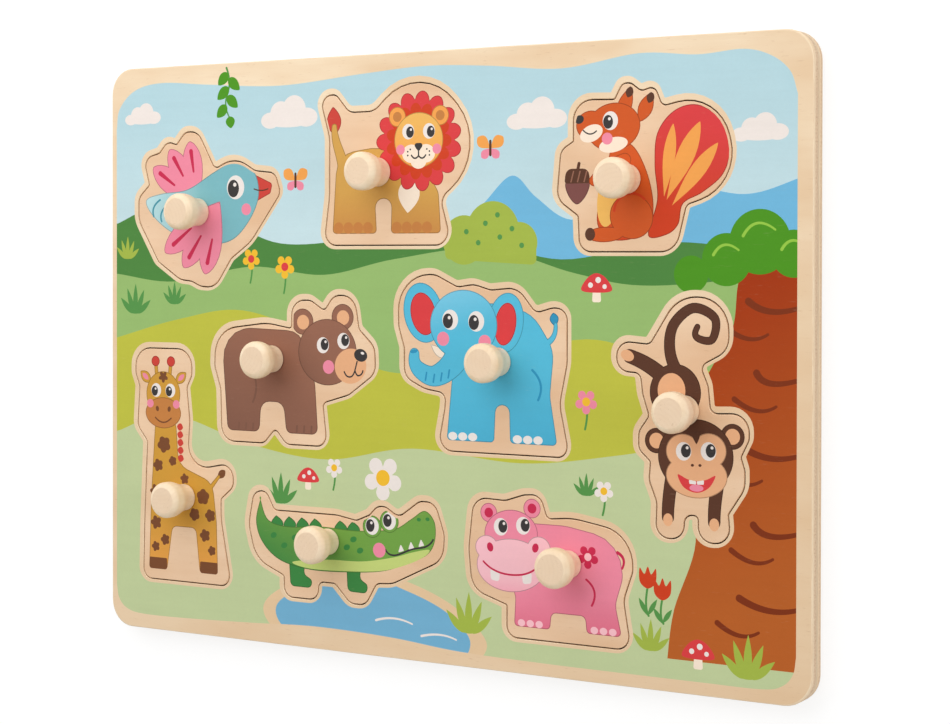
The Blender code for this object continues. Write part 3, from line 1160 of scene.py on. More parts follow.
@dataclass(frozen=True)
class Knob:
    """A turned knob: a straight foot, a neck that swells to the head, and a rim round a flat face."""

    height: float = 14.0
    foot: float = 10.4
    head: float = 14.2
    face: float = 10.2
    neck_height: float = 9.8
    neck_lag: float = 1.4
    rim_height: float = 2.2
    hole: float = 1.8
    hole_depth: float = 8.3
    foot_ease: float = 0.3
    crown: float = 0.05
    rim_turn: float = 62.0
    foot_rows: int = 6
    neck_rows: int = 18
    side_rows: int = 3
    rim_rows: int = 12
    face_rows: int = 7

    def profile(self) -> Array:
        """The knob's radius and height from the screw hole's end, round the outside, to its face.

        Formula: the neck's radius goes from foot to head as (1 - cos(pi t^lag)) / 2. The rim is
        the first rim_turn degrees of a quarter ellipse, scaled so that it ends at the face's edge,
        and the face is crowned as a parabola.

        Returns:
            Rows of radius and height.
        """
        foot, head, face = self.foot / 2, self.head / 2, self.face / 2
        ease = np.linspace(0, math.pi / 2, self.foot_rows)
        foot_edge = np.column_stack((foot - self.foot_ease * (1 - np.sin(ease)),
                                     self.foot_ease * (1 - np.cos(ease))))
        t = np.linspace(0, 1, self.neck_rows + 1)[1:]
        neck = np.column_stack((foot + (head - foot) * (1 - np.cos(math.pi * t**self.neck_lag)) / 2,
                                self.foot_ease + (self.neck_height - self.foot_ease) * t))
        rim_foot = self.height - self.rim_height
        side_heights = np.linspace(self.neck_height, rim_foot, self.side_rows + 1)[1:]
        side = np.column_stack((np.full(self.side_rows, head), side_heights))
        a = np.linspace(0, 1, self.rim_rows + 1)[1:] * math.radians(self.rim_turn)
        rim = np.column_stack((head - (head - face) * (1 - np.cos(a)) / (1 - math.cos(a[-1])),
                               rim_foot + (self.rim_height - self.crown) * np.sin(a) / math.sin(a[-1])))
        share = np.linspace(1, 0, self.face_rows + 1)[1:]
        top = np.column_stack((face * share, self.height - self.crown * share**2))
        hole = np.array(((0, self.hole_depth), (self.hole * 0.5, self.hole_depth),
                         (self.hole, self.hole_depth), (self.hole, self.hole_depth * 0.5), (self.hole, 0)))
        return np.concatenate((hole, foot_edge, neck, side, rim, top))

    def build(self, animal: "Animal", seed: int, finish: Material) -> Piece:
        """Turns the knob of one animal and dresses it.

        Args:
            animal: the piece that it stands on.
            seed: number of the piece.
            finish: its wood.

        Returns:
            The piece.
        """
        profile = self.profile() + (0, PANEL_TOP + GAP)
        piece = turned(animal.name + "_grip", profile, animal.centre, seed, end_rows=self.face_rows)
        piece.data.materials.append(finish)
        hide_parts(animal.name + "_knob")
        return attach(piece, animal.name)


@dataclass(frozen=True)
class Screw:
    """A countersunk wood screw with a cross recess in its head."""

    diameter: float = 3.0
    head: float = 6.2
    head_height: float = 1.9
    head_rim: float = 0.3
    point: float = 2.5
    bite: float = 8.0
    sink: float = 0.2
    pitch: float = 1.3
    thread: float = 0.22
    recess_depth: float = 1.1
    recess_reach: float = 1.7
    recess_width: float = 0.42
    recess_slope: float = 0.12
    recess_end_slope: float = 0.3
    sides: int = 48
    face_rows: int = 14
    shank_rows: int = 40
    point_rows: int = 8

    def build(self, animal: "Animal", seed: int, finish: Material) -> Piece:
        """Makes the screw of one animal and dresses it.

        Formula: the side is a turned profile whose shank is wound by a ridge, of height thread
        times the top third of a triangle wave of (z / pitch - t / 2 pi). The head's face sinks by
        recess_depth where the nearer arm of the cross is less than its half width away.

        Args:
            animal: the piece that it holds.
            seed: number of the piece.
            finish: its steel.

        Returns:
            The piece.
        """
        length = PANEL_THICKNESS - self.sink + GAP + self.bite
        z_shank = np.linspace(self.head_height, length - self.point, self.shank_rows)
        z_point = np.linspace(length - self.point, length, self.point_rows + 1)[1:]
        radius = np.concatenate((
            np.linspace(0, self.head / 2, self.face_rows + 1)[1:], (self.head / 2, self.diameter / 2),
            np.full(self.shank_rows - 1, self.diameter / 2),
            self.diameter / 2 * (length - z_point) / self.point,
        ))
        height = np.concatenate((
            np.zeros(self.face_rows), (self.head_rim, self.head_height), z_shank[1:], z_point,
        ))
        profile = np.column_stack((np.append(0, radius), np.append(0, height)))
        profile[:, 1] += PANEL_BOTTOM + self.sink
        piece = turned(animal.name + "_fixing", profile, animal.centre, seed, self.sides)
        self.shape(piece.data, animal.centre, length)
        piece.data.materials.append(finish)
        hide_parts(animal.name + "_screw")
        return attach(piece, animal.name)

    def shape(self, mesh: bpy.types.Mesh, centre: Point, length: float) -> None:
        """Presses the cross into the head and winds the thread round the shank.

        Args:
            mesh: the turned screw.
            centre: where its axis stands.
            length: the screw's length.
        """
        points = np.zeros(len(mesh.vertices) * 3)
        mesh.vertices.foreach_get("co", points)
        points = points.reshape(-1, 3) / MM - (*centre, PANEL_BOTTOM + self.sink)
        radius, angle = np.hypot(points[:, 0], points[:, 1]), np.arctan2(points[:, 1], points[:, 0])
        arm = np.minimum(np.abs(points[:, 0]), np.abs(points[:, 1]))
        wall = np.clip((self.recess_width - arm) / self.recess_slope, 0, 1)
        wall *= np.clip((self.recess_reach - radius) / self.recess_end_slope, 0, 1)
        points[:, 2] += np.where(points[:, 2] < TOUCH, self.recess_depth * wall, 0)
        turn = np.abs((points[:, 2] / self.pitch - angle / (2 * math.pi)) % 1 * 2 - 1)
        wound = (points[:, 2] > self.head_height + self.pitch) & (points[:, 2] < length - self.point)
        grow = np.where(wound, 1 + self.thread * np.clip(turn * 3 - 2, 0, 1) / (self.diameter / 2), 1)
        points[:, :2] *= grow[:, None]
        mesh.vertices.foreach_set("co", ((points + (*centre, PANEL_BOTTOM + self.sink)) * MM).ravel())
        mesh.update()


@dataclass(frozen=True)
class Animal:
    """One sawn animal.

    across and up place its knob as shares of the board's width and depth from the middle. corners
    are (x, y, radius) about the knob, and draw prints its picture.
    """

    name: str
    across: float
    up: float
    draw: Callable[[Picture], None]
    corners: tuple[Triple, ...]

    @property
    def centre(self) -> Point:
        """Where the knob stands on the board."""
        return (self.across * BOARD_WIDTH, self.up * BOARD_DEPTH)

    def outline(self) -> Outline:
        """The sawn outline, in its place on the board."""
        return Outline(self.corners, self.centre)

    def build(self, screw: Screw, finish: Material) -> Piece:
        """Builds the sawn piece, with the countersunk hole for its screw, and dresses it.

        Args:
            screw: the screw that passes through it.
            finish: its printed plywood.

        Returns:
            The piece.
        """
        outline = self.outline()
        plate = Plate()
        rings, heights = eased(outline, 0.0, PANEL_BOTTOM, PANEL_TOP)
        plate.wall(rings, heights)
        pocket = dot(*self.centre, screw.head / 2 + GAP)
        shank = self.centre + (pocket - self.centre) * ((screw.diameter / 2 + GAP) / (screw.head / 2 + GAP))
        cone_foot = PANEL_BOTTOM + screw.sink + screw.head_rim + GAP
        cone_top = cone_foot + screw.head_height - screw.head_rim
        plate.wall(
            [pocket, pocket, shank, shank], [PANEL_BOTTOM, cone_foot, cone_top, PANEL_TOP], inward=True,
        )
        plate.plain_face(rings[0], [pocket], PANEL_BOTTOM, up=False)
        picture = Picture()
        self.draw(picture)
        disc = dot(*self.centre, screw.head / 2)
        top = PrintedFace(rings[-1], [shank], outline.ring(-PIECE_MARGIN), [disc], picture.moved(PRINT_SHIFT))
        plate.face(*top.triangles(), PANEL_TOP)
        piece = plate.object(self.name + "_figure")
        piece.data.materials.append(finish)
        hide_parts(self.name + "_piece")
        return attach(piece, self.name)


# Drawings on the animals, in board millimetres

def draw_wing(p: Picture, root: Point, width: float, *tips: Point) -> None:
    """Draws a wing of striped feathers.

    Args:
        p: where it is drawn.
        root: where all the feathers start.
        width: the width of each.
        tips: where they end.
    """
    p.edged(Tint.PINK, *(leaf(*root, *tip, width, 1.5, 0.6) for tip in tips))
    for x, y in tips:
        p.lay(Tint.ROSE, stroke(
            (x * 0.52 + root[0] * 0.48, y * 0.52 + root[1] * 0.48),
            (x * 0.84 + root[0] * 0.16, y * 0.84 + root[1] * 0.16), width=0.9, end=1.9,
        ))


def draw_bird(p: Picture) -> None:
    """Draws a small bird with raised and lowered wing feathers.

    Args:
        p: where it is drawn.
    """
    draw_wing(p, (-106, 57), 9.8, (-128.5, 72), (-120.2, 79), (-110, 82))
    p.edged(Tint.BEAK, block((-80, 69, 1), (-69.6, 64.6, 1.4), (-70.6, 60.8, 1.2), (-79, 57, 1)))
    p.edged(Tint.TEAL, blob(
        (-132, 59), (-124, 61.5), (-111, 63), (-98, 69.5), (-88, 73.5), (-78.6, 69.5), (-76.2, 60), (-81, 50),
        (-90, 42.5), (-104, 41.5), (-119, 46), (-129, 53),
    ), fade=(Tint.TEAL_PALE, (-104, 55), (-131, 57)))
    p.lay(Tint.TEAL_DARK, *(
        stroke((x, 57 + k), (x - 3.2, 54 + k), (x - 3.2, 50.4 + k), width=0.8)
        for k, x in enumerate((-121, -117, -125))
    ))
    draw_wing(p, (-95, 58), 10.6, (-122.6, 38), (-113.2, 32), (-102.4, 29.4))
    p.eyes(4.4, (-87.4, 63.4), look=(-0.24, -0.1))
    p.lay(Tint.BLUSH, dot(-82.2, 54.8, 2.3))
    p.lay(Tint.UMBER, stroke((-78.4, 62.6), (-75, 62), (-71.8, 62.6), width=0.5))


def draw_lion(p: Picture) -> None:
    """Draws a standing lion with a scalloped mane and a round face.

    Args:
        p: where it is drawn.
    """
    p.edged(Tint.BEAK, leaf(-40.6, 82.5, -41.4, 93, 6.6, 0.9, 0.8))
    p.edged(Tint.TAN, stroke((-35, 62), (-37.2, 72), (-40, 80), (-40.8, 85.4), width=6, end=2.4), block(
        (-41.6, 45, 1.6), (-39.6, 75, 9), (-24, 77, 12), (-4, 76, 4), (5.4, 60, 6), (6.4, 45, 1.6),
        (-15.4, 45, 1.6), (-15, 58, 3.4), (-22.4, 58, 3.4), (-21.6, 45, 1.6),
    ), fade=(Tint.TAN_DARK, (0, 62), (0, 38)))
    p.lay(Tint.TAN_DARK, *(dot(x, 47.2, 2.2) for x in (-38.8, -34.4, -30, -25.6, -12.8, -8.4, -4, 0.4)))
    p.lay(
        Tint.TAN_DARK, stroke((-33, 70.5), (-30, 66.5), (-31, 62), width=1),
        stroke((-28.4, 70.5), (-26, 67), (-26.6, 63), width=1),
    )
    p.lay(Tint.CREAM, leaf(-7, 66, -8, 52.6, 9.4, 0.9, 0.9))
    p.edged(Tint.RED, rosette(-3.3, 79, 15.4, 18.6, 15))
    p.lay(Tint.RUST, rosette(-3.3, 79, 11.6, 14.2, 15, 12))
    p.edged(Tint.ORANGE, dot(-12.6, 88.2, 3.7), dot(6, 88.2, 3.7))
    p.lay(Tint.TAN_DARK, dot(-12.6, 88.2, 1.9), dot(6, 88.2, 1.9))
    p.edged(Tint.ORANGE, oval(-3.3, 79.4, 10.6, 10.2), fade=(Tint.AMBER, (-3.3, 70), (-3.3, 88)))
    p.lay(Tint.CREAM, oval(-3.3, 71.6, 3.4, 2.8), oval(-6.4, 74.4, 4, 3.4), oval(-0.2, 74.4, 4, 3.4))
    p.lay(
        Tint.DARK, block((-6, 78.3, 0.9), (-0.6, 78.3, 0.9), (-3.3, 75, 0.7)),
        stroke((-3.3, 76), (-3.3, 73.4), width=0.6),
        stroke((-6.4, 73.8), (-4.9, 72.7), (-3.3, 73.6), width=0.6),
        stroke((-3.3, 73.6), (-1.7, 72.7), (-0.2, 73.8), width=0.6),
        *(
            dot(x, y, 0.34)
            for x, y in ((-8, 75.2), (-6.9, 76), (-8, 73.8), (1.4, 75.2), (0.3, 76), (1.4, 73.8))
        ),
    )
    p.lay(Tint.BLUSH, dot(-11.2, 76, 1.9), dot(4.6, 76, 1.9))
    p.eyes(2.7, (-7.8, 82.6), (1.2, 82.6), look=(0.28, -0.08))


def draw_squirrel(p: Picture) -> None:
    """Draws a sitting squirrel that holds an acorn.

    Args:
        p: where it is drawn.
    """
    p.edged(Tint.RUST, blob(
        (90, 43.8), (97, 44), (101.4, 47.6), (103.2, 54.6), (110.5, 58.4), (118, 64.6), (120.6, 74),
        (117, 83), (108.4, 88.2), (99.6, 86.4), (93.4, 79), (92.4, 68), (93.4, 56),
    ), fade=(Tint.RED, (100, 52), (108, 84)))
    p.lay(
        Tint.ORANGE, leaf(97, 56, 109.4, 82.4, 6.6, 1.3, 0.8), leaf(99, 54, 116, 75, 5.4, 1.3, 0.8),
        leaf(96, 57, 99.4, 82, 4.6, 1.3, 0.8),
    )
    for tip in ((91.6, 93.4), (83.6, 95.6)):
        p.edged(Tint.FOX, leaf(tip[0] - 5, 83, *tip, 5.6, 0.9, 0.9))
        p.lay(Tint.UMBER, leaf(tip[0] - 1.5, tip[1] - 4, *tip, 3, 0.9, 0.9))
    p.edged(Tint.FOX, blob(
        (77, 76), (84, 75), (89.4, 66), (92, 55), (90.6, 46.4), (84, 42.6), (75, 42.6), (70.4, 48),
        (71.4, 58), (74, 68),
    ), fade=(Tint.RUST, (82, 60), (88, 42)))
    p.lay(Tint.AMBER, oval(74.4, 56.4, 4, 9.6, -6))
    p.edged(Tint.FOX, oval(83.6, 50.4, 8.4, 7.8, -20), oval(73.4, 44.2, 7.4, 2.7, 2))
    p.lay(Tint.RUST, stroke((77, 52.4), (79, 56.6), (84, 58.4), (88.6, 56.4), width=0.9))
    p.lay(Tint.UMBER, oval(67.6, 44.3, 2, 2.3))
    p.edged(Tint.NUT, blob((62.4, 54.8), (66.4, 58.6), (66.8, 63.2), (58.4, 63.2), (58.6, 58.6)))
    p.lay(
        Tint.UMBER, block((57.4, 62.2, 0.9), (58, 67.4, 2.6), (67, 67.4, 2.6), (67.6, 62.2, 0.9)),
        stroke((62.6, 66.6), (63.2, 69.2), width=1.2),
    )
    p.lay(Tint.BROWN, *(stroke((x, 62.8), (x + 1, 66.4), width=0.5) for x in (60, 62.6, 65.2)))
    p.edged(
        Tint.FOX, stroke((81, 70), (74.6, 67.4), (69, 63), width=5, end=3.8), oval(76.6, 81.6, 10.4, 8.4, 8),
        oval(67.6, 82.6, 5.6, 5, 10),
    )
    p.lay(Tint.CREAM, oval(68, 79.6, 4.6, 2.9, 20), oval(76.6, 75.4, 5.6, 2.6, 10))
    p.lay(
        Tint.DARK, oval(63.3, 84.6, 1.8, 1.5, 20), stroke((64.8, 80.8), (67.4, 79.4), (70, 80.4), width=0.5),
    )
    p.lay(Tint.BLUSH, dot(74.2, 77.6, 2.1))
    p.eyes(3.1, (75.4, 83.8))


def draw_bear(p: Picture) -> None:
    """Draws a walking bear.

    Args:
        p: where it is drawn.
    """
    p.edged(Tint.BROWN, block(
        (-94.2, 6.4, 15), (-81, 8.8, 22), (-56, 8, 9), (-49.6, -12, 8), (-48.2, -31.4, 2.6),
        (-63, -31.4, 2.6), (-64.4, -19.6, 4), (-75, -19.6, 4), (-75.8, -31.4, 2.6), (-91.2, -31.4, 2.6),
    ), fade=(Tint.BROWN_DARK, (-60, -8), (-80, -44)))
    p.lay(
        Tint.BROWN_DARK, stroke((-79.6, -7), (-77.4, -13.6), (-79, -20), width=0.9),
        *(stroke((x, -31), (x + 0.2, -28.4), width=0.8) for x in (-58.2, -54.8, -51.4, -85.8, -82.4, -79)),
    )
    p.edged(Tint.BROWN, dot(-55.4, 11.6, 5), dot(-37, 13.6, 5))
    p.lay(Tint.PEACH, dot(-55.2, 11.4, 2.8), dot(-36.8, 13.4, 2.8))
    p.edged(Tint.BROWN, oval(-44, 0.2, 13.4, 12.6), fade=(Tint.BROWN_DARK, (-46, 2), (-62, -10)))
    p.lay(Tint.PEACH, oval(-33.4, -4.8, 7.2, 6.6, 14))
    p.lay(
        Tint.DARK, oval(-28.8, -0.6, 3, 2.4, -12), stroke((-30.4, -3), (-31.4, -6.4), width=0.6),
        stroke((-36.2, -7), (-34.8, -8.7), (-32.8, -8.6), (-31.4, -6.4), width=0.6),
        stroke((-31.4, -6.4), (-30.2, -8.2), (-28.6, -7.8), (-27.8, -6.4), width=0.6),
    )
    p.lay(Tint.WHITE, oval(-28, 0.2, 0.8, 0.5, -12))
    p.lay(Tint.BLUSH, dot(-43.4, -5.4, 2.6))
    p.eyes(2.9, (-46, 2.8), (-36.6, 4.6), look=(0.26, 0.12))


def draw_elephant(p: Picture) -> None:
    """Draws an elephant with a raised trunk.

    Args:
        p: where it is drawn.
    """
    p.edged(Tint.BLUE_DARK, leaf(54, 11.4, 53, 16.6, 3.6, 1.3, 0.8))
    p.edged(Tint.BLUE, stroke((51, 6), (53.4, 8.6), (54, 12.4), width=2.4, end=1.6), block(
        (9, -30.6, 1.6), (11.4, -6, 9), (18, 22, 12), (44.6, 16.4, 14), (53.4, 3.4, 12), (51.8, -13, 14),
        (54.8, -30.6, 1.6), (35.6, -30.6, 1.6), (35.2, -17, 3.4), (29.6, -17, 3.4), (29, -30.6, 1.6),
    ), fade=(Tint.BLUE_DARK, (34, -10), (40, -70)))
    p.lay(Tint.WHITE, *(oval(x, -29, 1.9, 1.5) for x in (11.6, 15.8, 20, 38.6, 42.8, 47)))
    p.lay(Tint.BLUE_DARK, stroke((44.6, -4), (48, -9), (47, -14.6), width=0.9))
    for x, y, wide, tall, turn in ((-1.2, 15.8, 8.4, 11.2, 14), (33.6, 12.6, 7.4, 11, -10)):
        p.edged(Tint.BLUE, oval(x, y, wide, tall, turn))
        p.edged(Tint.RED, oval(x, y - 0.4, wide - 3, tall - 3.2, turn))
    p.edged(Tint.CREAM, leaf(8.4, -0.6, 2, 4.2, 3.4, 0.8, 0.9))
    p.edged(
        Tint.BLUE, oval(16, 11.6, 14.2, 12.8),
        stroke((15, 3), (10, -4), (3, -7.4), (-3.6, -4.6), (-5, 0.6), width=11, end=4.4),
        fade=(Tint.BLUE_PALE, (16, 10), (10, 34)),
    )
    p.lay(Tint.BLUE_DARK, *(
        stroke((x, y), (x + 0.5, y + 2.8), width=0.7)
        for x, y in ((9.6, -7.8), (6.4, -9), (3.2, -9.6), (-0.2, -9))
    ), oval(-5.2, 1.5, 1.6, 0.7, 10))
    p.lay(Tint.BLUSH, dot(7.4, 6.4, 2.6), dot(25, 5.6, 2.6))
    p.eyes(3.5, (10.4, 13.4), (21.4, 13))


def draw_monkey(p: Picture) -> None:
    """Draws a small monkey that hangs by its curled tail.

    Args:
        p: where it is drawn.
    """
    p.edged(Tint.UMBER, stroke(
        (102, -4), (98.4, 4), (99.6, 13), (107, 19), (115, 15.6), (114, 8.4), (108.4, 9), (108.6, 12.6),
        width=4.6, end=2.2,
    ), stroke((99, -8), (92, -2), (83, 2), width=6, end=5), oval(100.4, -10, 9.6, 9.8))
    p.lay(Tint.PEACH, oval(82.2, 2.2, 2.6, 1.9, -20), oval(99, -9.4, 5.2, 6))
    for x, y in ((97.8, -53), (115, -53.6)):
        p.edged(Tint.UMBER, stroke((x + 2, -36), (x + 0.4, -46), (x, y), width=5, end=4.6))
        p.lay(Tint.PEACH, oval(x, y - 0.8, 1.8, 2.2))
    p.edged(Tint.UMBER, dot(93.4, -26.8, 4.4), dot(121.6, -24.2, 4.4))
    p.lay(Tint.PEACH, dot(93.4, -26.8, 2.7), dot(121.6, -24.2, 2.7))
    p.edged(Tint.UMBER, oval(108, -31.6, 14, 12.8, 4))
    p.edged(Tint.PEACH, oval(103.4, -30, 6.4, 6), oval(113, -29.4, 6.4, 6), oval(108.4, -38.2, 11.4, 7.6))
    p.lay(
        Tint.UMBER, leaf(108, -21, 108.4, -27.4, 3, 0.8, 0.9), oval(106.9, -34.6, 0.6, 0.5),
        oval(109.7, -34.5, 0.6, 0.5),
    )
    p.lay(Tint.RED, blob(
        (101.4, -38), (105, -39.4), (108.4, -39.9), (112, -39.3), (115.4, -37.8), (113, -42), (108.4, -43.9),
        (103.6, -42.2),
    ))
    p.lay(Tint.BLUSH, oval(108.4, -42.3, 2.6, 1.2))
    p.lay(
        Tint.WHITE, block((105.6, -39.6, 0.2), (105.8, -41, 0.3), (108.2, -41.1, 0.3), (108.3, -40, 0.2)),
        block((108.5, -40, 0.2), (108.7, -41.1, 0.3), (111.1, -41, 0.3), (111.2, -39.5, 0.2)),
    )
    p.eyes(3, (103.6, -30), (112.8, -29.6), look=(0.28, 0.08))


def draw_giraffe(p: Picture) -> None:
    """Draws a giraffe that faces the viewer.

    Args:
        p: where it is drawn.
    """
    p.lay(Tint.PATCH, leaf(-96.4, -50.8, -92.4, -47.4, 3.2, 1.3, 0.8))
    p.edged(Tint.YELLOW, stroke((-100, -55), (-95.6, -50), width=2, end=1.4), block(
        (-130.6, -88.4, 1.4), (-129.6, -60, 10), (-127.4, -28, 4), (-117, -28, 4), (-115.6, -46.4, 7),
        (-98.6, -52.4, 7), (-96.6, -68, 10), (-96, -88.4, 1.4), (-105, -88.4, 1.4), (-107, -71, 2.4),
        (-118.6, -71, 2.4), (-121.4, -88.4, 1.4),
    ), fade=(Tint.ORANGE, (-112, -66), (-112, -96)))
    p.lay(Tint.PATCH, *(
        block((x0, -88.6, 1.2), (x0 + 0.2, -84, 0.5), (x1 - 0.2, -84, 0.5), (x1, -88.6, 1.2))
        for x0, x1 in ((-130.6, -121.3), (-105, -96))
    ))
    spots = (
        (-123, -38.6, 2.6, 3.4, 10), (-118.6, -45, 1.6, 2, 0), (-126, -47, 1.9, 2.6, 0),
        (-120.4, -64.6, 3, 2.4, 20), (-103.4, -58.4, 3.2, 2.6, -20), (-99.8, -65.6, 2, 2.6, 0),
        (-107.6, -65.6, 2.6, 2.1, 10), (-127, -70, 1.9, 2.8, 0), (-122.4, -76.6, 1.7, 2.3, 0),
        (-102.4, -73.6, 1.9, 2.6, 0), (-99, -79.4, 1.5, 2, 0), (-127.2, -79.6, 1.5, 2.1, 0),
        (-127.4, -57.4, 1.6, 2.8, 0), (-112.6, -51.8, 2.2, 1.5, -10),
    )
    p.lay(Tint.PATCH, *(rosette(x, y, min(a, b), max(a, b), 5, turn, 1.2) for x, y, a, b, turn in spots))
    p.lay(Tint.BEAK, *(
        leaf(-116.4 + 0.1 * k, -31 - 3.1 * k, -113.4 + 0.1 * k, -31.6 - 3.1 * k, 3, 1, 0.7) for k in range(5)
    ))
    for side, x in ((-1, -126.6), (1, -120.2)):
        p.edged(Tint.YELLOW, stroke((x, -12), (x + side * 0.6, -6), width=1.8))
        p.edged(Tint.BEAK, dot(x + side * 0.7, -5.4, 2.1))
        p.edged(Tint.YELLOW, leaf(x + side * 3, -14, x + side * 8.4, -9.6, 4.4, 1, 0.8))
        p.lay(Tint.BLUSH, leaf(x + side * 4.4, -12.9, x + side * 7.4, -10.4, 2, 1, 0.8))
    p.edged(Tint.YELLOW, oval(-123.4, -18.4, 8.6, 9))
    p.lay(Tint.PATCH, rosette(-123.4, -11.6, 1.4, 2.4, 5, 18, 1.2))
    p.edged(Tint.TAN_DARK, oval(-123.4, -26, 9, 6.2))
    p.lay(
        Tint.PATCH, oval(-126.4, -24.4, 0.8, 1.1, 12), oval(-120.4, -24.4, 0.8, 1.1, -12),
        stroke((-127.4, -28), (-123.4, -29.8), (-119.4, -28), width=0.6),
    )
    p.lay(Tint.BLUSH, dot(-130, -22.4, 1.7), dot(-116.8, -22.4, 1.7))
    p.eyes(2.6, (-127, -17), (-119.8, -17))


def draw_crocodile(p: Picture) -> None:
    """Draws a smiling crocodile.

    Args:
        p: where it is drawn.
    """
    p.edged(
        Tint.CROC_DARK,
        *(leaf(x, -69.4, x - 0.8, -63.3, 6, 0.9, 0.9) for x in (-67, -61, -55, -49, -37.4, -31.6)),
    )
    p.edged(Tint.CROC_DARK, block(
        (-35.4, -76, 2), (-34.6, -89.8, 2), (-25.6, -90, 2), (-25.6, -86.6, 1.6), (-29, -84.6, 2),
        (-28, -76, 2),
    ), block((-62, -76, 2), (-61, -90, 2), (-51, -90, 2), (-51, -86.8, 1.6), (-54.6, -85, 2), (-54, -76, 2)))
    p.edged(Tint.CROC, blob(
        (-75.4, -57.6), (-75.2, -57.8), (-71.6, -65.2), (-62, -67.2), (-48, -66.2), (-32, -66.6), (-22, -66),
        (-13, -64.6), (-6, -60.4), (-0.4, -57.2), (3.8, -61), (4, -68), (0.6, -73.4), (-8, -77.4), (-19, -81),
        (-34, -82.6), (-52, -83), (-66, -80.4), (-74.4, -74), (-77.4, -66),
    ), fade=(Tint.CROC_DARK, (-40, -68), (-52, -92)))
    p.lay(Tint.CROC_PALE, blob(
        (-60, -80.6), (-44, -78.6), (-28, -78), (-14, -75.4), (-6, -73), (1.4, -71.4), (-0.4, -74),
        (-8, -77.6), (-19, -80.8), (-34, -82.2), (-52, -82.6),
    ))
    p.lay(Tint.CROC_DARK, *(
        oval(x, y, 1.5, 1.1, 20)
        for x, y in (
            (-69, -71), (-64, -74.6), (-59, -71.2), (-35, -73.2), (-32, -70), (-29, -74), (-56, -76.4),
        )
    ))
    p.lay(Tint.DARK, stroke((-17.6, -72.8), (-13.6, -74.6), (-6, -71.8), (0, -70.4), (3.2, -67.6), width=0.7))
    p.lay(Tint.WHITE, *(
        block((x, y, 0.2), (x + 2.6, y + 0.8, 0.2), (x + 1.1, y + 3.2, 0.3))
        for x, y in ((-12, -73.4), (-7.6, -72), (-3.2, -70.8))
    ))
    for x, y in ((-23.6, -64.6), (-16, -62.2)):
        p.edged(Tint.CROC, dot(x, y, 4.2))
        p.eyes(3.1, (x, y + 0.2), look=(-0.26, 0.05))
    p.lay(Tint.CROC_DARK, oval(-3, -60.6, 0.9, 0.7), oval(0.8, -60.2, 0.9, 0.7))
    p.lay(Tint.BLUSH, dot(-20.4, -73.2, 2.8))


def draw_hippo(p: Picture) -> None:
    """Draws a hippo with a broad muzzle.

    Args:
        p: where it is drawn.
    """
    p.edged(Tint.PINK, block(
        (37.4, -96, 1.6), (38, -84, 5), (26, -74, 6), (34, -58.6, 8), (58, -58.6, 26), (80.6, -62.4, 15),
        (80.6, -76, 10), (77.8, -85, 8), (80.4, -96, 1.6), (66.6, -96, 1.6), (66, -90, 2), (52.6, -90, 2),
        (52, -96, 1.6),
    ), fade=(Tint.ROSE, (64, -82), (66, -116)))
    p.lay(
        Tint.ROSE, stroke((78.6, -66.6), (80.9, -68.8), (80.4, -72), width=1.2, end=0.8),
        stroke((66.4, -77), (69.6, -81), (68.6, -86), width=0.8),
    )
    p.lay(Tint.PINK_PALE, *(oval(x, -94.6, 1.5, 1.3) for x in (40.4, 44, 47.6, 69.6, 73.2, 76.8)))
    p.lay(Tint.ROSE, rosette(67, -69, 2, 4.2, 5, 18, 0.6))
    p.lay(Tint.PINK_PALE, dot(67, -69, 1.4))
    for x, y in ((26.8, -56), (44.6, -53.4)):
        p.edged(Tint.PINK, dot(x, y, 3.5))
        p.lay(Tint.ROSE, dot(x, y, 1.8))
    p.edged(Tint.PINK, oval(36, -63, 11, 8.6, 6))
    p.edged(
        Tint.PINK_PALE, oval(26, -68.6, 4.8, 4.4), oval(47.4, -67.6, 4.8, 4.4), oval(36, -74.4, 14.2, 9.6, 3),
        fade=(Tint.PINK, (36, -78), (36, -90)),
    )
    p.lay(Tint.ROSE, oval(27.4, -68.4, 1.3, 1.7, 16), oval(46, -67.4, 1.3, 1.7, -16))
    p.lay(
        Tint.WHITE, block((27.4, -76.4, 0.5), (27.8, -80.2, 1), (31.2, -80.6, 1), (31.4, -77.6, 0.5)),
        block((40.6, -77.8, 0.5), (41, -80.8, 1), (44.4, -80.2, 1), (44.6, -76.4, 0.5)),
    )
    p.lay(
        Tint.ROSE, stroke((24.6, -73.8), (29.6, -76.8), (36, -77.8), (42.6, -76.8), (47.8, -73.4), width=0.7),
    )
    p.lay(Tint.BLUSH, dot(53.6, -74, 2.8))
    p.eyes(3, (31.8, -60.8), (41, -59.8), look=(0.28, 0.08))


# The landscape on the panel, in board millimetres

def wave(*knots: Point) -> Array:
    """An open smooth line.

    Args:
        knots: points that it passes through, the first and the last among them.

    Returns:
        The line's points.
    """
    points = np.array(knots, float)
    padded = np.concatenate((2 * points[:1] - points[1:2], points, 2 * points[-1:] - points[-2:-1]))
    return np.concatenate((spline(padded, WAVE_STEPS), points[-1:]))


def ridge(*knots: Point) -> Array:
    """Ground that reaches from a smooth skyline, given from left to right, to the sheet's lower edge."""
    line = wave(*knots)
    return np.concatenate((line, ((line[-1, 0], -SHEET_Y), (line[0, 0], -SHEET_Y))))


def cloud(x: float, y: float, size: float) -> list[Array]:
    """A flat-bottomed cloud of five round puffs.

    Args:
        x, y: the middle of its bottom.
        size: half its width.

    Returns:
        The outline of each puff.
    """
    puffs = ((-0.68, 0.1, 0.34, 0.24), (-0.3, 0.3, 0.38, 0.36), (0.18, 0.4, 0.42, 0.42),
             (0.62, 0.16, 0.4, 0.28), (0, 0.08, 0.86, 0.2))
    return [oval(x + size * a, y + size * b, size * c, size * d) for a, b, c, d in puffs]


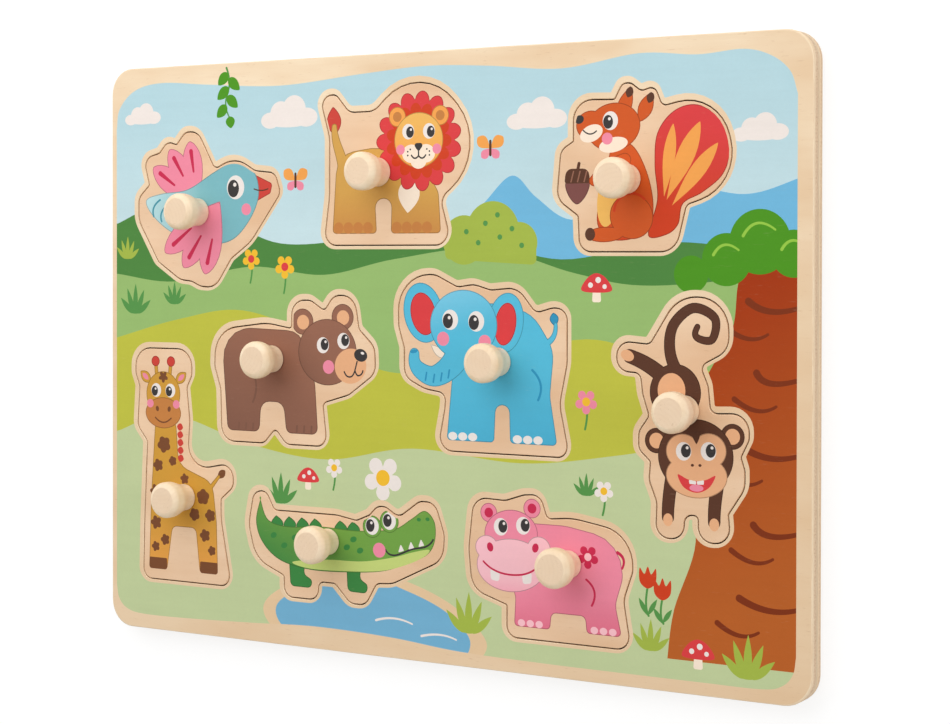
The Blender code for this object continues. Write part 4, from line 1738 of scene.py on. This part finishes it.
def tuft(x: float, y: float, tall: float) -> list[Array]:
    """Five blades of grass that fan out, with the foot that they grow from.

    Args:
        x, y: the foot.
        tall: height of the middle blade.

    Returns:
        The outline of each.
    """
    blades = ((-0.62, 0.52), (-0.34, 0.84), (0.02, 1), (0.38, 0.8), (0.66, 0.46))
    return [
        oval(x, y + tall * 0.07, tall * 0.24, tall * 0.08),
        *(leaf(x + a * tall * 0.2, y, x + a * tall, y + b * tall, tall * 0.2, 0.8, 0.9) for a, b in blades),
    ]


def frame_ring() -> Array:
    """The edge between the picture and the bare border.

    Formula: two smooth waves, along its top and its bottom, whose ends turn round the corners and
    are joined by straight sides.

    Returns:
        The edge's points, clockwise.
    """
    top = wave(
        (-147.6, 88), (-146, 96.5), (-138, 103.6), (-124, 106.1), (-100, 104.4), (-66, 102.6), (-28, 105.4),
        (0, 107), (26, 105.8), (56, 103.4), (86, 107.2), (108, 105.7), (125, 106.7), (135, 104),
        (141.6, 98.6), (144.3, 91),
    )
    low = wave(
        (144.3, -96), (143.2, -101.8), (139.4, -106), (132, -107.8), (110, -107.9), (80, -107.9),
        (50, -107.8), (14, -107.1), (-16, -104.8), (-50, -104), (-80, -105.4), (-112, -106.6), (-134, -106.8),
        (-142.4, -105.2), (-146.4, -101.4), (-147.6, -96),
    )
    return np.concatenate((top, low))


def draw_meadow(p: Picture) -> None:
    """Draws hills, fields, a stream and a rock bluff under a bright sky.

    Args:
        p: where it is drawn.
    """
    p.lay(
        Tint.SKY,
        block((-SHEET_X, SHEET_Y, 3), (SHEET_X, SHEET_Y, 3), (SHEET_X, -SHEET_Y, 3), (-SHEET_X, -SHEET_Y, 3)),
        fade=(Tint.SKY_PALE, (0, 96), (0, 44)),
    )
    p.lay(
        Tint.MOUNTAIN,
        ridge((10, 44), (24, 56), (36, 66), (46, 58), (60, 50), (80, 55), (100, 62), (126, 58), (148, 64)),
    )
    p.lay(Tint.CLOUD, *cloud(-62, 88, 13), *cloud(46, 84, 12), *cloud(131, 77, 10), *cloud(-134, 91, 9))
    p.lay(Tint.HILL, ridge(
        (-148, 50), (-128, 56), (-96, 52), (-66, 42), (-30, 44), (0, 50), (24, 44), (56, 36), (100, 42),
        (148, 36),
    ))
    p.lay(Tint.FIELD, ridge(
        (-148, 30), (-118, 27), (-80, 33), (-46, 30), (-14, 36), (26, 40), (62, 31), (92, 27), (148, 32),
    ))
    p.lay(
        Tint.MEADOW,
        ridge((-148, 4), (-116, 12), (-84, 16), (-48, 6), (-16, -6), (20, -2), (66, 8), (100, 0), (148, -6)),
    )
    p.lay(Tint.LAWN, ridge(
        (-148, -34), (-120, -26), (-80, -36), (-44, -40), (-6, -34), (40, -37), (80, -32), (112, -26),
        (148, -32),
    ))
    p.lay(Tint.SAND, blob(
        (-30, -80), (-6, -84), (14, -92), (26, -104), (12, -112), (-40, -112), (-66, -108), (-74, -98),
        (-60, -88),
    ))
    p.lay(Tint.WATER, blob(
        (-30, -83), (-8, -87), (10, -94), (19, -104), (8, -112), (-38, -112), (-62, -107), (-68, -98),
        (-56, -90),
    ))
    p.lay(
        Tint.CLOUD, stroke((-22, -99), (-14, -97.6), (-6, -99), width=0.9, end=0.6),
        stroke((-2, -103), (6, -101.8), (13, -103), width=0.9, end=0.6),
    )
    bluff = (
        (97.5, -101), (100, -84), (108, -60), (104, -36), (110, -8), (121, 12), (124, 30), (134, 38),
        (148, 42), (148, -101),
    )
    p.lay(Tint.ROCK, np.concatenate((
        spline(np.array(bluff[:1] + bluff[:9] + bluff[8:9], float), STROKE_STEPS), np.array(bluff[8:], float),
    )), fade=(Tint.ROCK_PALE, (112, 20), (150, -70)))
    for y, shift in ((22, 0), (-2, 3), (-27, -2), (-53, 2), (-78, -3)):
        p.lay(
            Tint.ROCK_DARK, stroke((127 + shift, y), (136, y - 3.4), (148, y - 1), width=2.6, end=1.4),
            stroke((119 + shift, y - 9), (127 + shift, y - 12.6), (134 + shift, y - 11), width=2, end=1),
        )
    p.lay(Tint.BUSH, dot(119, 36, 9), dot(131, 42, 11), dot(143, 38, 8), dot(106, 31, 6.4))
    p.lay(Tint.BUSH_PALE, *(
        stroke(
            (x - r * 0.6, y + r * 0.2), (x - r * 0.1, y + r * 0.62), (x + r * 0.55, y + r * 0.4), width=1.1,
            end=0.7,
        )
        for x, y, r in ((119, 36, 8), (131, 42, 10), (143, 38, 7))
    ))
    p.lay(
        Tint.LIME, dot(16, 43, 9), dot(28, 46, 11), dot(39, 42, 7.4),
        block((8, 36, 2), (8, 42, 2), (46, 42, 2), (46, 34, 2)),
    )
    p.lay(
        Tint.LEAF,
        *(dot(x, y, 1) for x, y in ((17, 46), (25, 49), (31, 44), (36, 47), (22, 42), (30, 52), (40, 41))),
    )
    p.lay(Tint.LEAF, *tuft(-138, 14, 12), *tuft(-118, 18, 9), *tuft(-66, -58, 12), *tuft(66, -47, 8))
    p.lay(Tint.LIME, *tuft(18, -100, 15), *tuft(91, -99, 11), *tuft(-142, 36, 9), *tuft(127, -105, 15))
    p.lay(
        Tint.LEAF, stroke((-92, 110.6), (-90.6, 104), (-92.4, 97), (-90.4, 91), width=0.9, end=0.6),
        over_frame=True,
    )
    p.lay(Tint.BUSH, *(
        leaf(x, y, x + a, y - 4.6, 4.4, 0.8, 0.7)
        for x, y, a in (
            (-91.4, 108.6, -4.6), (-91, 106.4, 5.4), (-91, 103, -5.4), (-91.6, 99.6, 5), (-92, 96, -4.6),
            (-90.4, 91.6, 0.6),
        )
    ), over_frame=True)
    for x, y, tall in ((90, -77, 10), (95.6, -80.6, 8.6)):
        p.lay(
            Tint.LEAF, stroke((x, y), (x - 0.6, y - tall * 0.6), (x + 0.4, y - tall), width=0.8),
            leaf(x, y - tall, x - 3.4, y - tall * 0.4, 1.8), leaf(x, y - tall, x + 3.6, y - tall * 0.4, 1.8),
        )
        p.lay(Tint.RUST, blob(
            (x, y - 0.6), (x + 3, y + 1.6), (x + 3.1, y + 6.4), (x + 1.3, y + 4.4), (x, y + 7),
            (x - 1.3, y + 4.4), (x - 3.1, y + 6.4), (x - 3, y + 1.6),
        ))
    for x, y, size, heart, petal in (
        (-64, 33, 4.6, Tint.RED, Tint.GOLD), (66, -14, 4.4, Tint.GOLD, Tint.PINK),
        (-19, -45.6, 8.4, Tint.GOLD, Tint.CLOUD), (-41, -43, 3.8, Tint.GOLD, Tint.CLOUD),
        (73, -45, 3.8, Tint.GOLD, Tint.CLOUD), (-80, 36, 4.2, Tint.RED, Tint.GOLD),
    ):
        p.lay(Tint.LEAF, stroke((x, y), (x + 0.4, y - size), (x - 0.4, y - size * 2.2), width=0.8))
        p.lay(petal, rosette(x, y, size * 0.5, size, 5, 18, 0.6))
        p.lay(heart, dot(x, y, size * 0.36))
    for x, y, size in ((-53, -52, 5), (70, 21, 6), (109, -103.6, 6)):
        p.lay(Tint.CREAM, block(
            (x - size * 0.3, y, 0.8), (x - size * 0.24, y + size * 0.8, 0.5),
            (x + size * 0.24, y + size * 0.8, 0.5), (x + size * 0.3, y, 0.8),
        ))
        p.lay(Tint.RED, blob(
            (x - size, y + size * 0.7), (x - size * 0.62, y + size * 1.4), (x, y + size * 1.7),
            (x + size * 0.62, y + size * 1.4), (x + size, y + size * 0.7), (x, y + size * 0.56),
        ))
        p.lay(
            Tint.WHITE, dot(x - size * 0.4, y + size, size * 0.16),
            dot(x + size * 0.1, y + size * 1.3, size * 0.18),
            dot(x + size * 0.52, y + size * 0.92, size * 0.14),
        )
    for x, y in ((-59, 66), (27, 76)):
        p.lay(
            Tint.ORANGE, leaf(x, y, x - 5.4, y + 4, 4.6, 1.5, 0.7), leaf(x, y, x + 5.4, y + 4, 4.6, 1.5, 0.7),
        )
        p.lay(
            Tint.PINK, leaf(x, y, x - 3.6, y - 3.4, 3.4, 1.5, 0.7),
            leaf(x, y, x + 3.6, y - 3.4, 3.4, 1.5, 0.7),
        )
        p.lay(Tint.UMBER, stroke((x, y - 2.4), (x, y + 2.6), width=1))


ANIMALS = (
    Animal("bird", -0.353, 0.242, draw_bird, (
        (-6.5, 31.5, 4), (-0.5, 31.5, 6), (8, 16.5, 2.5), (18, 21, 12), (27.5, 15.5, 6),
        (37, 14.5, 4), (39.5, 7, 3.5), (25.5, -11.5, 20), (16, -18, 5), (8, -29.5, 7),
        (1, -29, 6), (-3.5, -27, 8), (-9, -26.5, 8), (-20, -19.5, 5), (-30, -3, 10),
        (-30, 6, 5), (-24.5, 11, 1.5), (-27.5, 21.5, 4), (-19.5, 23.5, 3), (-15.5, 28, 3.5),
        (-11, 26.5, 1.5),
    )),
    Animal("lion", -0.070, 0.304, draw_lion, (
        (-24.5, -27, 4.5), (-22, -8.5, 30), (-22, 13.5, 15), (-26.5, 29, 4.5), (-19.5, 29.5, 4),
        (-13.5, 22.5, 5), (-2, 22.5, 8), (18.5, 41.5, 22.5), (48.5, 7, 22.5), (26.5, -10, 6),
        (31.5, -27, 5),
    )),
    Animal("squirrel", 0.273, 0.284, draw_squirrel, (
        (-21, 28, 7), (-5, 27.5, 1.5), (-2, 33, 2.5), (1, 33, 3), (5, 30, 3), (10, 31.5, 2.5),
        (13, 24.5, 2.5), (34, 29, 16.5), (42, -2.5, 17), (22, -9, 3), (18, -25, 7),
        (-18.5, -25, 4.5), (-19, -12.5, 2), (-27.5, -6.5, 6), (-26, 10.5, 4.5), (-21, 13.5, 1),
    )),
    Animal("bear", -0.232, -0.011, draw_bear, (
        (-24.5, -32.5, 6), (-25, -12.5, 10), (-28, -3.5, 6), (-27.5, 10.5, 11), (-3, 13.5, 25),
        (9, 11.5, 1.5), (9, 22.5, 5.5), (17.5, 22.5, 5), (24, 18.5, 2), (28.5, 24.5, 5),
        (37.5, 24.5, 6.5), (39.5, 12, 4), (46.5, 5.5, 6), (47, -4, 6), (35, -12.5, 8),
        (23, -16, 2.5), (25, -32.5, 4), (6.5, -32.5, 4), (1, -26.5, 2), (-4.5, -32.5, 4),
    )),
    Animal("elephant", 0.102, -0.004, draw_elephant, (
        (-43, 31, 13), (-42.5, 12, 6), (-40, 4, 6), (-40, -6.5, 5.5), (-31.5, -10.5, 12),
        (-22, -12, 3.5), (-22.5, -18, 10), (-25.5, -33, 5), (27.5, -33, 4.5), (27.5, -28.5, 8),
        (24.5, -14.5, 14), (27.5, 0, 15), (27.5, 19, 4.5), (22, 19.5, 8), (15, 17.5, 3.5),
        (7.5, 26.5, 8), (-3.5, 25.5, 6), (-10.5, 27.5, 8), (-17.5, 26.5, 5), (-27, 31, 8),
    )),
    Animal("monkey", 0.347, -0.069, draw_monkey, (
        (15.5, 38.5, 11), (15.5, 21, 7), (5, 15.5, 3), (8, 8.5, 6), (9, -1, 3), (23, -0.5, 6),
        (23, -9, 4), (20, -15, 2), (21.5, -19.5, 5), (21.5, -25.5, 8), (15.5, -34.5, 1.5),
        (16.5, -44.5, 5.5), (5, -44.5, 5.5), (5, -35.5, 2), (-0.5, -35.5, 3), (-1, -44, 5),
        (-11, -44, 5), (-10.5, -32, 8), (-13.5, -24.5, 6), (-13, -18, 1.5), (-17.5, -14, 4),
        (-17.5, -8, 5), (-13.5, -2.5, 2.5), (-16, 5, 10), (-17, 12.5, 3), (-26, 13, 4.5),
        (-26, 23, 4.5), (-13.5, 22, 3), (-3, 38.5, 12),
    )),
    Animal("giraffe", -0.375, -0.260, draw_giraffe, (
        (-25, 58.5, 7), (3, 58.5, 7), (3, 48.5, 4), (0.5, 43.5, 4), (2, 30.5, 15), (0.5, 10, 9),
        (23.5, 14.5, 5), (23.5, 5.5, 4), (17.5, 0.5, 2), (17.5, -7.5, 30), (22.5, -33.5, 4),
        (-21, -33.5, 4), (-20.5, -11.5, 20), (-19, 21.5, 4), (-24, 27.5, 5), (-23, 43.5, 4),
        (-25, 48.5, 4),
    )),
    Animal("crocodile", -0.145, -0.316, draw_crocodile, (
        (-35, 17, 4), (-37.5, 4, 12), (-34, -9, 12), (-20.5, -14.5, 2), (-20.5, -22.5, 4),
        (-5, -22.5, 4), (-5, -15.5, 2.5), (3, -15.5, 3), (10, -22.5, 5), (16.5, -22.5, 4.5),
        (21.5, -14, 3), (28.5, -13.5, 10), (50.5, -3, 8), (51, 6, 8), (47, 17.5, 5),
        (40.5, 17.5, 5), (31.5, 11, 4), (25.5, 14.5, 4), (22, 14.5, 4), (18.5, 11, 3),
        (12.5, 8.5, 3), (3.5, 10, 20), (-25.5, 10, 3), (-29.5, 17, 3.5),
    )),
    Animal("hippo", 0.198, -0.318, draw_hippo, (
        (-39, 21, 5.5), (-26, 20.5, 8), (-18.5, 23, 8), (-12, 23.5, 4.5), (-9, 15, 2.5),
        (1, 16, 30), (25, 12, 13), (24.5, -1, 6), (21, -11, 10), (24, -28, 4.5), (-25, -28, 4),
        (-25, -16.5, 1), (-39.5, -12, 8), (-41, 2.5, 20),
    )),
)

# The hand-turned knobs differ a little
KNOBS = {
    "bird": Knob(foot=10.9),
    "bear": Knob(height=13.1),
    "lion": Knob(foot=10.8, face=9.9),
    "crocodile": Knob(foot=10.0),
    "hippo": Knob(foot=9.9, face=10.5),
    "giraffe": Knob(head=14.0, face=10.0),
}


# The studio

WHITE = (1.0, 1.0, 1.0, 1.0)


def seen_ray(g: Graph) -> Socket:
    """Tells rays from the camera, or from a mirror or glass that it sees, from all others.

    Args:
        g: the material's nodes.

    Returns:
        One for such a ray and zero for another.
    """
    ray = g.add("LightPath", {})
    shiny = g.math("MAXIMUM", ray.outputs["Is Glossy Ray"], ray.outputs["Is Transmission Ray"])
    return g.math("MAXIMUM", ray.outputs["Is Camera Ray"], shiny)


@dataclass(frozen=True)
class Studio:
    """A pale floor, soft lamps and the camera."""

    camera_place: Triple = (0.3841, 0.0358, 0.6274)
    camera_right: Triple = (0.8625, 0.0015, -0.5061)
    camera_up: Triple = (-0.0072, 0.9999, -0.0092)
    camera_back: Triple = (0.5060, 0.0115, 0.8625)
    camera_reach: Point = (0.01, 50.0)
    lens: float = 75.11
    shift: float = -0.0835
    floor_size: float = 6.0
    floor_drop: float = 0.0003
    floor_bounce: float = 0.8
    floor_shadow: float = 0.3
    floor_glow: float = 0.76
    world_light: float = 0.54
    world_tint: Triple = (1.0, 0.99, 0.97)
    lamps: tuple[tuple[str, Triple, float, float], ...] = (
        ("key", (-0.24, 0.5, 0.48), 1.0, 4.3),
        ("front", (0.35, 0.45, 0.6), 0.9, 0.8),
        ("fill", (1.2, 0.1, 0.3), 0.5, 2.8),
    )

    def add_camera(self) -> None:
        """Sets the camera where the photograph was taken from."""
        data = bpy.data.cameras.new("camera")
        data.lens = self.lens
        data.shift_y = self.shift
        data.clip_start, data.clip_end = self.camera_reach
        camera = bpy.data.objects.new("camera", data)
        turn = Matrix((self.camera_right, self.camera_up, self.camera_back)).transposed()
        camera.matrix_world = Matrix.Translation(self.camera_place) @ turn.to_4x4()
        bpy.context.scene.collection.objects.link(camera)
        bpy.context.scene.camera = camera

    def add_lamp(self, name: str, place: Triple, size: float, watts: float) -> None:
        """Hangs a square soft lamp that points at the board.

        Args:
            name: the lamp's name.
            place: where it hangs, in metres.
            size: its side, in metres.
            watts: its power.
        """
        data = bpy.data.lights.new(name, "AREA")
        data.size = size
        data.energy = watts
        lamp = bpy.data.objects.new(name, data)
        aim = (-Vector(place)).to_track_quat("-Z", "Y")
        lamp.matrix_world = Matrix.Translation(place) @ aim.to_matrix().to_4x4()
        bpy.context.scene.collection.objects.link(lamp)

    def add_floor(self) -> None:
        """Lays a white floor that shows the board's shadow to the camera and is clear from beneath."""
        half, low = self.floor_size / 2, -self.floor_drop
        corners = [(-half, -half, low), (half, -half, low), (half, half, low), (-half, half, low)]
        mesh = bpy.data.meshes.new("floor")
        mesh.from_pydata(corners, [], [(0, 1, 2, 3)])
        g = Graph(bpy.data.materials.new("studio floor"))
        plain, shown = (g.add("BsdfDiffuse", {"Color": (grey, grey, grey, 1.0)})
                        for grey in (self.floor_bounce, self.floor_shadow))
        glow = g.add("Emission", {"Color": WHITE, "Strength": self.floor_glow})
        both = g.add("AddShader", {0: shown.outputs[0], 1: glow.outputs[0]})
        above = g.add("MixShader", {0: seen_ray(g), 1: plain.outputs[0], 2: both.outputs[0]})
        beneath = g.add("NewGeometry", {}).outputs["Backfacing"]
        clear = g.add("BsdfTransparent", {})
        whole = g.add("MixShader", {0: beneath, 1: above.outputs[0], 2: clear.outputs[0]})
        mesh.materials.append(g.finish(whole))
        link("floor", mesh)

    def set_world(self) -> None:
        """Lights the scene softly from all round and shows the camera a white world."""
        g = Graph(bpy.data.worlds.new("studio"))
        light = g.add("Background", {"Color": (*self.world_tint, 1.0), "Strength": self.world_light})
        white = g.add("Background", {"Color": WHITE, "Strength": 1.0})
        ray = g.add("LightPath", {})
        seen = g.math("MAXIMUM", ray.outputs["Is Camera Ray"], ray.outputs["Is Transmission Ray"])
        mix = g.add("MixShader", {0: seen, 1: light.outputs[0], 2: white.outputs[0]})
        bpy.context.scene.world = g.finish(mix, "OutputWorld")

    def build(self) -> None:
        """Sets up the whole studio."""
        self.add_camera()
        self.set_world()
        self.add_floor()
        for lamp in self.lamps:
            self.add_lamp(*lamp)
        bpy.context.scene.view_settings.view_transform = "Standard"


def main() -> None:
    """Builds the studio and the puzzle, piece by piece."""
    logging.basicConfig(level=logging.INFO, format="%(message)s")
    Studio().build()
    base_ply = PlywoodFinish("base plywood", BASE_PLIES).material()
    panel_ply = PlywoodFinish("printed panel ply", PANEL_PLIES, low_shade=PANEL_LOW_SHADE).material()
    animal_ply = PlywoodFinish("printed animal ply", PANEL_PLIES, *ANIMAL_WOOD).material()
    wood = TurnedWoodFinish().material()
    steel = ZincFinish().material()
    pieces = [BaseSheet().build(base_ply), RecessPanel().build(ANIMALS, panel_ply)]
    screw = Screw()
    for seed, animal in enumerate(ANIMALS):
        pieces.append(animal.build(screw, animal_ply))
        pieces.append(KNOBS.get(animal.name, Knob()).build(animal, seed, wood))
        pieces.append(screw.build(animal, seed, steel))
    for piece in pieces:
        LOG.info("%s: %d faces", piece.name, len(piece.data.polygons))


if __name__ == "__main__":
    main()
